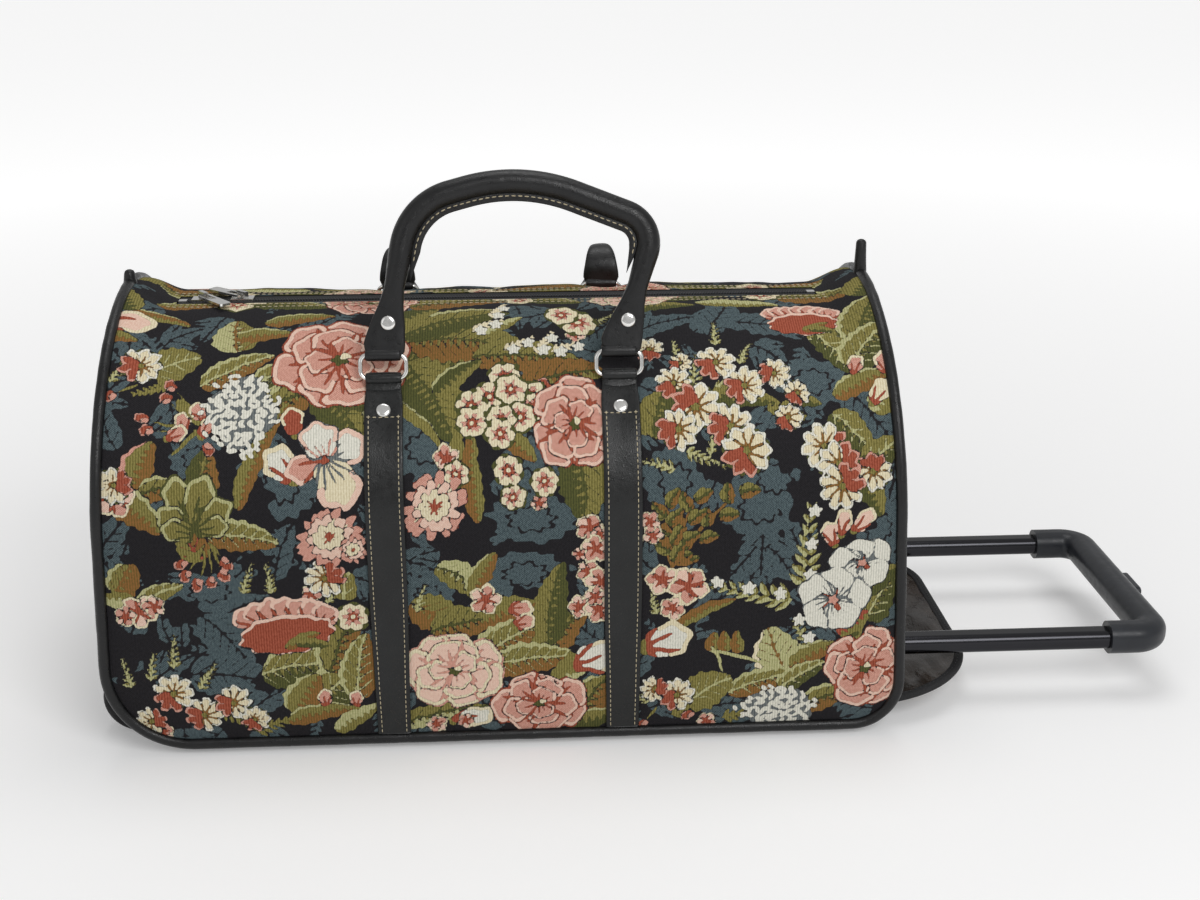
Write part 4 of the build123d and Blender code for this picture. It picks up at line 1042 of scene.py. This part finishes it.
def cloth_panel(name, node, hand, pitch, start, finish):
    """Part of the front or back panel: a swollen sheet from the lower edge up to the zip.

    start and finish are the part's ends, or None where it runs to the bag's end, with a
    strip that closes it past the end of the zip.
    """
    width = (half_length if finish is None else finish) - (-half_length if start is None else start)
    columns = int(width / pitch)
    rows = np.concatenate([[0, 0.15, 0.5, 1], np.linspace(2, 1000, int(panel_height / pitch))]) / 1000
    place_u, share = np.meshgrid(np.linspace(0, 1, columns), rows)
    edge_s = rows * cloth_length(half_length, zip_half_gap)
    edge_z = profile(np.full_like(rows, half_length), edge_s)[1]
    left = end_place(edge_z, -1)[:, None] if start is None else start
    right = end_place(edge_z, 1)[:, None] if finish is None else finish
    x = left + place_u * (right - left)
    s = share * cloth_length(x, zip_half_gap)
    parts = [(cloth_point(x, s, 0, hand), grid_faces(len(rows), columns))]
    fabric = [(x, s)]
    for side, edge in ((-1, start), (1, finish)):
        if edge is None:
            along_zip = side * np.linspace(zip_end, end_place(end_top, 1), 24)
            x, over = np.meshgrid(along_zip, np.linspace(0, 1, 8))
            s = cloth_length(x, zip_half_gap)
            s = s + over * (cloth_length(x, 0) - s)
            faces = [face[::side] for face in grid_faces(*x.shape)]
            parts.append((cloth_point(x, s, 0, hand), faces))
            fabric.append((x, s))
    piece = make_piece(name, parts, cloth, node, flip=hand > 0)
    x, s = (np.concatenate([np.ravel(place[k]) for place in fabric]) for k in (0, 1))
    lay_print(piece, -hand * x, s)


def end_outline(low):
    """Y and Z of an end panel's edge, from a low height on the front round to the back."""
    s = np.linspace(low - base_height, cloth_length(half_length, 0), 150)
    y, z = profile(np.full_like(s, half_length), s)[:2]
    return np.concatenate([y, -y[-2::-1]]), np.concatenate([z, z[-2::-1]])


def end_sheet(y, z, hand, bulge):
    """Points of an end panel with its soft outward bulge."""
    noise = 1.6 * soft_noise(y, z, 70, 40 + hand) + 0.6 * soft_noise(y, z, 26, 44 + hand)
    return points_of(end_place(z, hand) + hand * bulge * (3.0 + noise), y, z)


def left_end():
    """Closed end above the wheels."""
    edge_y, edge_z = end_outline(left_split)
    count = len(edge_y) // 2
    place, y_edge = np.meshgrid(np.linspace(-1, 1, 130), edge_y[:count])
    z = np.broadcast_to(edge_z[:count, None], place.shape)
    y = -place * y_edge
    bulge = smooth((1 - np.abs(place)) * np.abs(y_edge) / 40) * smooth((z - left_split) / 40)
    parts = [(end_sheet(y, z, -1, bulge), grid_faces(*place.shape))]
    piece = make_piece("left_end_cloth", parts, cloth, "left_end_panel", flip=True)
    lay_print(piece, y - 90, z)


def right_end():
    """End with the mouth of the handle well cut in it, bound with tape."""
    edge_y, edge_z = end_outline(right_split)
    corners = ((-1, right_split), (-1, well_top), (1, well_top), (1, right_split))
    mouth = [(side * well_half_width, level, 0) for side, level in corners]
    mouth = spaced(rounded_path(mouth, [well_corner, well_corner], 1.5), 0.5)
    pick = np.linspace(0, len(mouth) - 1, len(edge_y))
    mouth_y, mouth_z = (np.interp(pick, np.arange(len(mouth)), mouth[:, axis]) for axis in (0, 1))
    share = np.linspace(0, 1, 60)[:, None]
    y = mouth_y * (1 - share) + edge_y * share
    z = mouth_z * (1 - share) + edge_z * share
    bulge = smooth(share * (1 - share) * 6) * smooth((z - right_split) / 30)
    parts = [(end_sheet(y, z, 1, bulge), grid_faces(*y.shape))]
    piece = make_piece("right_end_cloth", parts, cloth, "right_end_panel", flip=True)
    lay_print(piece, y + 60, z - 10)
    rim = spaced(points_of(end_place(mouth_z, 1) + 0.8, mouth_y, mouth_z), 3)
    tape = sweep(rim, (1, 0, 0), flat_section(3.2, 9, 12, 4))
    make_piece("well_mouth_binding", [tape], black_tape)
    make_piece("well_mouth_stitches", stitch_row(rim + (1.9, 0, 0), mouth_stitch), thread)


cloth_panel("front_cloth_left", "front_panel", -1, front_pitch, None, -strap_x)
cloth_panel("front_cloth_middle", "front_panel", -1, front_pitch, -strap_x, strap_x)
cloth_panel("front_cloth_right", "front_panel", -1, front_pitch, strap_x, None)
cloth_panel("back_cloth", "back_panel", 1, back_pitch, None, None)
left_end()
right_end()

# Piping, its tails and the zip


def piping(name, node, hand):
    """Leather piping round the edge of a panel, from one end of the zip seam to the other."""
    top = cloth_length(half_length, piping_gap)
    s = np.concatenate([np.linspace(top, 8, 180), [5.5, 3.5, 2, 1, 0.5, 0.15, 0.02]])
    y, z = profile(np.full_like(s, half_length), s)[:2]
    left, right = (points_of(end_place(z, side), -hand * y, z) for side in (-1, 1))
    step = 2.5
    path = spaced(np.concatenate([left, right[::-1]]), step)
    ripple = 1 + 0.03 * soft_noise(np.arange(len(path)) * step, 0, 9, 60 + hand)
    sections = resized(round_section(piping_radius, 14), ripple)
    tube = sweep(path, carried_side(path, (1, 0, 0.3)), sections)
    make_piece(name, [tube], leather, node)


piping("front_piping_cord", "front_piping", -1)
piping("back_piping_cord", "back_piping", 1)


def piping_tails():
    """Upright ends of the piping at the two ends of the zip, the right one longer."""
    sizes = np.array([1.3, 1.25, 1.12, 1.02, 0.95, 0.75, 0.4, 0.05])
    parts = []
    for side, height in ((-1, 10), (1, 25)):
        rise = np.array([-4, 0, 0.3 * height, 0.6 * height, height - 2.5, height - 1, height - 0.2, height])
        path = points_of(side * end_place(end_top, 1), 0, rise + end_top)
        parts.append(sweep(path, (1, 0, 0), resized(round_section(piping_radius, 16), sizes)))
    make_piece("piping_tail_ends", parts, leather, "piping_tails")


piping_tails()

# Across and level of the zip: the points of a tape's width, and those of one tooth
zip_tape = ((2.2, 288.1), (3, 288.6), (5, 288.7), (8, 288.8), (11, 288.9), (12.5, 288.8))
zip_tooth = ((3.2, 287.7), (2.2, 288.9), (0.4, 289.1), (-0.9, 288.9), (-1.2, 288.2))
tooth_pitch = 2.0
tooth_radius = 0.46
teeth_end = 225.5
topstitch_rows = (3.2, 9)


def zip_tapes():
    """Two woven tapes, and the teeth of the closed coil between them."""
    across, level = np.array(zip_tape).T
    x, y = np.meshgrid(np.linspace(-zip_end, zip_end, 233), across)
    for place, hand in (("front", -1), ("back", 1)):
        parts = [(points_of(x, hand * y, level[:, None]), grid_faces(*x.shape))]
        make_piece(place + "_zip_tape", parts, black_tape, place + "_tape", flip=hand < 0)
    parts = []
    for place in np.arange(-teeth_end, teeth_end + 0.5, tooth_pitch):
        for hand in (-1, 1):
            centre = place + (tooth_pitch / 2 if hand > 0 else 0)
            path = [(centre, hand * out, height) for out, height in zip_tooth]
            parts.append(sweep(path, (1, 0, 0), round_section(tooth_radius, 5)))
    make_piece("zip_coil_teeth", parts, coil_plastic, "zip_chain")


zip_tapes()


def zip_topstitch():
    """Twin rows of cream stitches beside the zip on both panels."""
    x = np.linspace(-zip_end - 4, zip_end + 4, 120)
    parts = []
    for hand in (-1, 1):
        for back in topstitch_rows:
            s = cloth_length(x, zip_half_gap) - back
            parts += stitch_row(cloth_point(x, s, 0.3, hand), zip_stitch)
    make_piece("zip_topstitches", parts, thread)


zip_topstitch()

# Straps, rings and carry handles

strap_low = 12.3
strap_taper = 120
strap_loop_start = cloth_length(0, 0) - crown_radius * radians(42.5)
rivet_s = cloth_length(0, 0) - crown_radius * radians(49)


def bar_loop(x, y, z, way=1):
    """Leather loop round a bar of a ring."""
    angle = np.linspace(0, 2 * pi, 33)
    ring = points_of(x, y + way * loop_radius * np.cos(angle), z + loop_radius * np.sin(angle))
    return sweep(ring, (1, 0, 0), flat_section(loop_width, strap_thickness, 20, 4), capped=False)


def strap(node, hand, side):
    """Folded leather strap up the cloth, ending in a loop round the ring's lower bar."""
    middle = side * strap_x
    s = np.linspace(strap_low - base_height, strap_loop_start, 150)
    width = strap_width - 2 * smooth((s - strap_loop_start + 14) / 14)
    width = width - 3 * smooth((strap_taper - s) / strap_taper)
    section = flat_section(1, strap_thickness, 28, 4)
    u, v = section[:, 0], section[:, 1]
    lift = v + strap_thickness / 2 + 0.15 + 0.35 * (1 - (2 * u) ** 2)
    points = cloth_point(middle + u * width[:, None], s[:, None], lift, hand)
    foot = [tuple(range(len(section)))]
    tongue = cloth_point(middle, strap_loop_start + np.array([-16, -8, -2]), 1.4, hand)
    tongue = np.vstack([tongue, (middle, -hand * (bar_y - 2.4), bar_z - 2.2)])
    parts = [
        (points, grid_faces(len(s), len(section), close=True) + foot),
        bar_loop(middle, -hand * bar_y, bar_z, -hand),
        sweep(tongue, (1, 0, 0), flat_section(loop_width, strap_thickness, 20, 4)),
    ]
    make_piece(node + "_leather", parts, strap_leather, node, flip=hand > 0)
    inset = strap_width / 2 - 3
    top_row = strap_loop_start - 22
    s = np.linspace(strap_low - base_height + 3, top_row, 90)
    rows = []
    for edge in (-1, 1):
        x = middle + edge * (inset - 1.5 * smooth((strap_taper - s) / strap_taper))
        rows += stitch_row(cloth_point(x, s, strap_thickness + 0.45, hand), strap_stitch)
    x = middle + np.linspace(-inset, inset, 12)
    rows += stitch_row(cloth_point(x, top_row, strap_thickness + 0.55, hand), strap_stitch)
    make_piece(node + "_leather_stitches", rows, thread)


strap("front_left_strap", -1, -1)
strap("front_right_strap", -1, 1)
strap("back_left_strap", 1, -1)
strap("back_right_strap", 1, 1)

rivet_radius = 5
rivet_height = 2.2


def dome(centre, normal):
    """Low domed rivet head on a surface, open underneath."""
    angle = np.linspace(0, pi / 2, 9)
    rise = np.concatenate([[-0.8, 0], rivet_height * (0.35 + 0.65 * np.sin(angle))])
    size = np.concatenate([[1, 1], np.cos(angle[:-1]) ** 0.55, [0.02]])
    sections = resized(round_section(rivet_radius, 24), size)
    points, faces = sweep(centre + np.outer(rise, normal), np.cross(normal, (0.2, 0.9, 0.3)), sections)
    del faces[-2]
    return points, faces


def strap_rivets(name, node, hand):
    """Bright rivets near the tops of the straps."""
    parts = []
    for side in (-1, 1):
        foot = cloth_point(side * strap_x, rivet_s, strap_thickness + 0.4, hand)
        out_y, out_z = profile(side * strap_x, rivet_s)[2:]
        parts.append(dome(foot, (0, -hand * out_y, out_z)))
    make_piece(name, parts, bright_metal, node)


strap_rivets("front_strap_rivet_heads", "front_strap_rivets", -1)
strap_rivets("back_strap_rivet_heads", "back_strap_rivets", 1)

left_knee = (-60, 101)
crown_knee = (16, 121)
right_knee = (106, 86)
knee_radii = (45, 120, 22)
tab_length = 46
tab_thickness = 5.4
tab_rivet = 22
welt_start = 52
welt_width = 7
welt_thickness = 3.2
seam_start = 60
handle_step = 2.5


def handle_sections(path):
    """Sections of a handle, flat tabs that close into a roll, and how far each is from an end."""
    length = run_length(path)
    far = np.minimum(length, length[-1] - length)
    half = np.interp(far, [0, 5, 9, 22, 34, tab_length, 70], [12, 14, 13.8, 11.4, 8.4, 6.8, roll_radius])
    thick = np.interp(far, [0, 20, 34, tab_length, 70], [2.7, 2.7, 4.2, 6.4, roll_radius])
    power = np.interp(far, [0, 20, 60], [4.5, 4, 2])
    return soft_section(half, thick, power, 28), far


def in_handle_plane(flat, out=0.0):
    """Points of the front handle's leaning plane."""
    lean = radians(handle_lean)
    y = pin_y + flat[..., 1] * sin(lean) - out * cos(lean)
    z = pin_z + flat[..., 1] * cos(lean) + out * sin(lean)
    return points_of(flat[..., 0], y, z)


def front_handle():
    """Rolled handle standing up, with a stitched welt inside its arch."""
    corners = [(-strap_x, 0), left_knee, crown_knee, right_knee, (strap_x, 0)]
    flat = rounded_path([(*corner_place, 0) for corner_place in corners], knee_radii, handle_step)
    path = in_handle_plane(spaced(flat, handle_step))
    lean = radians(handle_lean)
    out = np.array([0, -cos(lean), sin(lean)])
    inward = np.cross(along(path), out)
    sections, far = handle_sections(path)
    rolled = far > welt_start
    welt = (path + inward * (roll_radius + 1.6))[rolled]
    place = np.arange(len(welt))
    grow = np.clip(np.minimum(place, place[::-1]) / 8, 0.05, 1)
    parts = [sweep(path, inward, sections)]
    parts += [bar_loop(side * strap_x, pin_y, pin_z) for side in (-1, 1)]
    parts.append(sweep(welt, inward[rolled], resized(flat_section(welt_width, welt_thickness, 16, 4), grow)))
    body = "front_carry_handle"
    make_piece("front_handle_leather", parts, leather, "front_handle", body)
    seam = welt[6:-6]
    rows = []
    for off in (1.75, -1.75):
        rows += stitch_row(seam + out * off, handle_stitch)
    make_piece("front_handle_stitches", rows, thread, None, body)
    rivets = []
    for foot, knee in ((-strap_x, left_knee), (strap_x, right_knee)):
        leg = np.array([knee[0] - foot, knee[1]], float)
        leg = leg / np.linalg.norm(leg) * tab_rivet + (foot, 0)
        rivets.append(dome(in_handle_plane(leg, tab_thickness / 2), out))
    make_piece("front_handle_rivet_heads", rivets, bright_metal, "front_handle_rivets", body)


front_handle()

droop_rise = 10
droop_bend = 14
droop_tail = 10
droop_drop = 56
droop_knee_x = 50
droop_knee_y = 154
droop_knee_radius = 30


def back_handle():
    """Rolled handle fallen outwards over its rings."""
    fold_y = -pin_y + droop_bend
    fold_z = pin_z + droop_rise
    angle = np.linspace(pi, 0, 24)
    fold = points_of(-strap_x, fold_y + droop_bend * np.cos(angle), fold_z + droop_bend * np.sin(angle))
    hang_z = fold_z - droop_tail
    knee_z = hang_z - droop_drop
    corners = [(-strap_x, fold_y + droop_bend, hang_z), (-droop_knee_x, droop_knee_y, knee_z),
               (0, droop_knee_y, knee_z)]
    hang = rounded_path(corners, [droop_knee_radius], handle_step)
    half = np.vstack([(-strap_x, -pin_y, pin_z), fold, hang])
    path = spaced(np.concatenate([half, (half * (-1, 1, 1))[-2::-1]]), handle_step)
    sections, far = handle_sections(path)
    side = carried_side(path, (1, 0, 0))
    parts = [sweep(path, side, sections)]
    parts += [bar_loop(edge * strap_x, -pin_y, pin_z) for edge in (-1, 1)]
    body = "back_carry_handle"
    make_piece("back_handle_leather", parts, leather, "back_handle", body)
    seam = (path + np.cross(along(path), side) * (roll_radius + 0.1))[far >= seam_start]
    make_piece("back_handle_stitches", stitch_row(seam, handle_stitch), thread, None, body)


back_handle()

# Flap of the handle well

flap_hinge_x = 267.5
flap_hinge_z = 18
flap_tilt = radians(6)
flap_half_width = 132
flap_reach = 77
flap_corner = 72
flap_lap = 2
binding_width = 6


def flap_point(y, out, lift):
    """Points on the folded-down flap, out from its hinge and lifted off its plane."""
    x = flap_hinge_x + out * cos(flap_tilt) - lift * sin(flap_tilt)
    z = flap_hinge_z + out * sin(flap_tilt) + lift * cos(flap_tilt)
    return points_of(x, y, z)


def flap_rim(y):
    """How far the flap reaches out at a place across the bag."""
    past = np.clip(np.abs(y) - (flap_half_width - flap_corner), 0, flap_corner)
    return flap_reach - flap_corner + np.sqrt(flap_corner**2 - past**2)


def flap_folds(y, out):
    """Creases of the flap's lining."""
    broad = 2.2 * soft_noise(0.35 * y + out, 0.25 * y, 17, 70)
    fine = 1.0 * soft_noise(0.25 * y - out, 0.4 * y, 8, 71)
    return (broad + fine) * smooth((flap_rim(y) - out) / 14) * smooth(out / 12)


def handle_flap():
    """Flap with a shiny lining on top, cloth beneath and a bound rim."""
    width = np.linspace(-flap_half_width + 3, flap_half_width - 3, 150)
    y, share = np.meshgrid(width, np.linspace(0, 1, 60))
    out = share * (flap_rim(y) - 3) - flap_lap * (1 - share)
    folds = flap_folds(y, out)
    faces = grid_faces(*y.shape)
    top = [(flap_point(y, out, folds + 1.3), faces)]
    film = make_piece("flap_lining_film", top, flap_lining, "handle_flap", flip=True)
    bottom = [(flap_point(y, out, folds * 0.5 - 1.5), faces)]
    under = make_piece("flap_underside", bottom, cloth)
    lay_print(under, y + 30, out + 150)
    turn = np.linspace(-pi / 2, pi / 2, 90)[45:]
    arc_y = flap_half_width - flap_corner + flap_corner * np.cos(turn)
    arc_out = flap_reach - flap_corner + flap_corner * np.sin(turn)
    half = np.vstack([(flap_half_width, 2), np.stack([arc_y, arc_out], axis=1), (0, flap_reach)])
    rim = np.concatenate([half, (half * (-1, 1))[-2::-1]])
    rim_y = rim[:, 0] * (1 - binding_width / 2 / flap_half_width)
    path = spaced(flap_point(rim_y, rim[:, 1] - binding_width / 2, 0), 3)
    up = np.array([-sin(flap_tilt), 0, cos(flap_tilt)])
    binding = sweep(path, np.cross(along(path), up), flat_section(binding_width + 1, 5, 16, 3))
    rim_tape = make_piece("flap_rim_binding", [binding], black_tape, "flap_binding")
    stitches = stitch_row(path + up * 2.5, rim_stitch)
    rim_thread = make_piece("flap_rim_stitches", stitches, coil_plastic)
    width, length = 2 * flap_half_width / 1000, (flap_reach + flap_lap) / 1000


handle_flap()

# Finishes of the CAD nodes that stay


def dress(material, *names):
    """Gives carried-over CAD nodes a finish."""
    for name in names:
        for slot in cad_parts[name].material_slots:
            slot.material = material


dress(bright_metal, "left_slider", "left_pull", "right_slider", "right_pull", "zip_stops", "front_rings",
      "back_rings", "back_handle_rivets")
dress(tube_metal, "front_tube", "back_tube")
dress(sleeve_metal, "front_sleeve", "back_sleeve")
dress(grip_plastic, "grip")
dress(button_plastic, "push_button")
dress(black_plastic, "tube_plugs", "mouth_bushes", "clamp_bar", "front_housing", "back_housing", "feet",
      "front_hub", "back_hub")
dress(tyre_rubber, "front_tyre", "back_tyre")
dress(steel, "front_axle", "back_axle", "foot_screws")
dress(well_lining, "handle_well")
dress(base_vinyl, "base_panel")
dress(board_grey, "base_board", "floor_board")

# Floor, light and camera

floor_size = 40


def stage_floor():
    """Plain pale floor that runs out of sight and shows near white to the camera."""
    sh = Shader("pale_floor", (0.82, 0.82, 0.82), 0.9)
    far = sh.add("VectorMath", "Value", {0: sh.coordinates()}, operation="LENGTH")
    glow = sh.ramp(far, 0.4, 2.2, 0.22, 0.62)
    sh.put(sh.surface["Emission Color"], (1, 1, 1))
    sh.put(sh.surface["Emission Strength"], sh.math("MULTIPLY", sh.seen(), glow))
    mesh = bpy.data.meshes.new("floor")
    corners = [(floor_size * x, floor_size * y, 0) for x, y in ((-1, -1), (1, -1), (1, 1), (-1, 1))]
    mesh.from_pydata(corners, [], [(0, 1, 2, 3)])
    mesh.materials.append(sh.material)
    add_object("floor", mesh)


def area_light(name, place, target, size, power):
    """Large soft lamp that looks at a point."""
    lamp = bpy.data.lights.new(name, "AREA")
    lamp.shape = "DISK"
    lamp.size = size
    lamp.energy = power
    holder = add_object(name, lamp)
    holder.location = place
    holder.rotation_euler = (Vector(target) - Vector(place)).to_track_quat("-Z", "Y").to_euler()


def light_world(strength, shown):
    """Even white surroundings, with a strength for light and one for what is seen or mirrored."""
    world = bpy.data.worlds.new("studio")
    tree = Nodes(world)
    background = tree.nodes["Background"].inputs
    tree.put(background["Color"], (1, 1, 1))
    tree.put(background["Strength"], tree.ramp(tree.seen(), 0, 1, strength, shown))
    bpy.context.scene.world = world


def stand_camera(place, tilt, turn):
    """Camera at the photograph's place and angle."""
    camera = bpy.data.cameras.new("camera")
    camera.lens = 50
    camera.sensor_width = 36
    holder = add_object("camera", camera)
    holder.location = place
    holder.rotation_euler = (radians(90 - tilt), 0, radians(turn))
    bpy.context.scene.camera = holder


stage_floor()
area_light("key", (0.75, -1.9, 1.75), (0.1, 0, 0.15), 1.3, 26)
area_light("fill", (-1.6, -1.4, 1.2), (-0.1, 0, 0.15), 1.4, 3)
area_light("top", (0, 0.4, 2.4), (0, 0, 0.2), 1.4, 13)
light_world(0.34, 0.5)
stand_camera((-0.107, -1.19625, 0.588), 19.41, -3.57)
bpy.context.scene.view_settings.view_transform = "Standard"
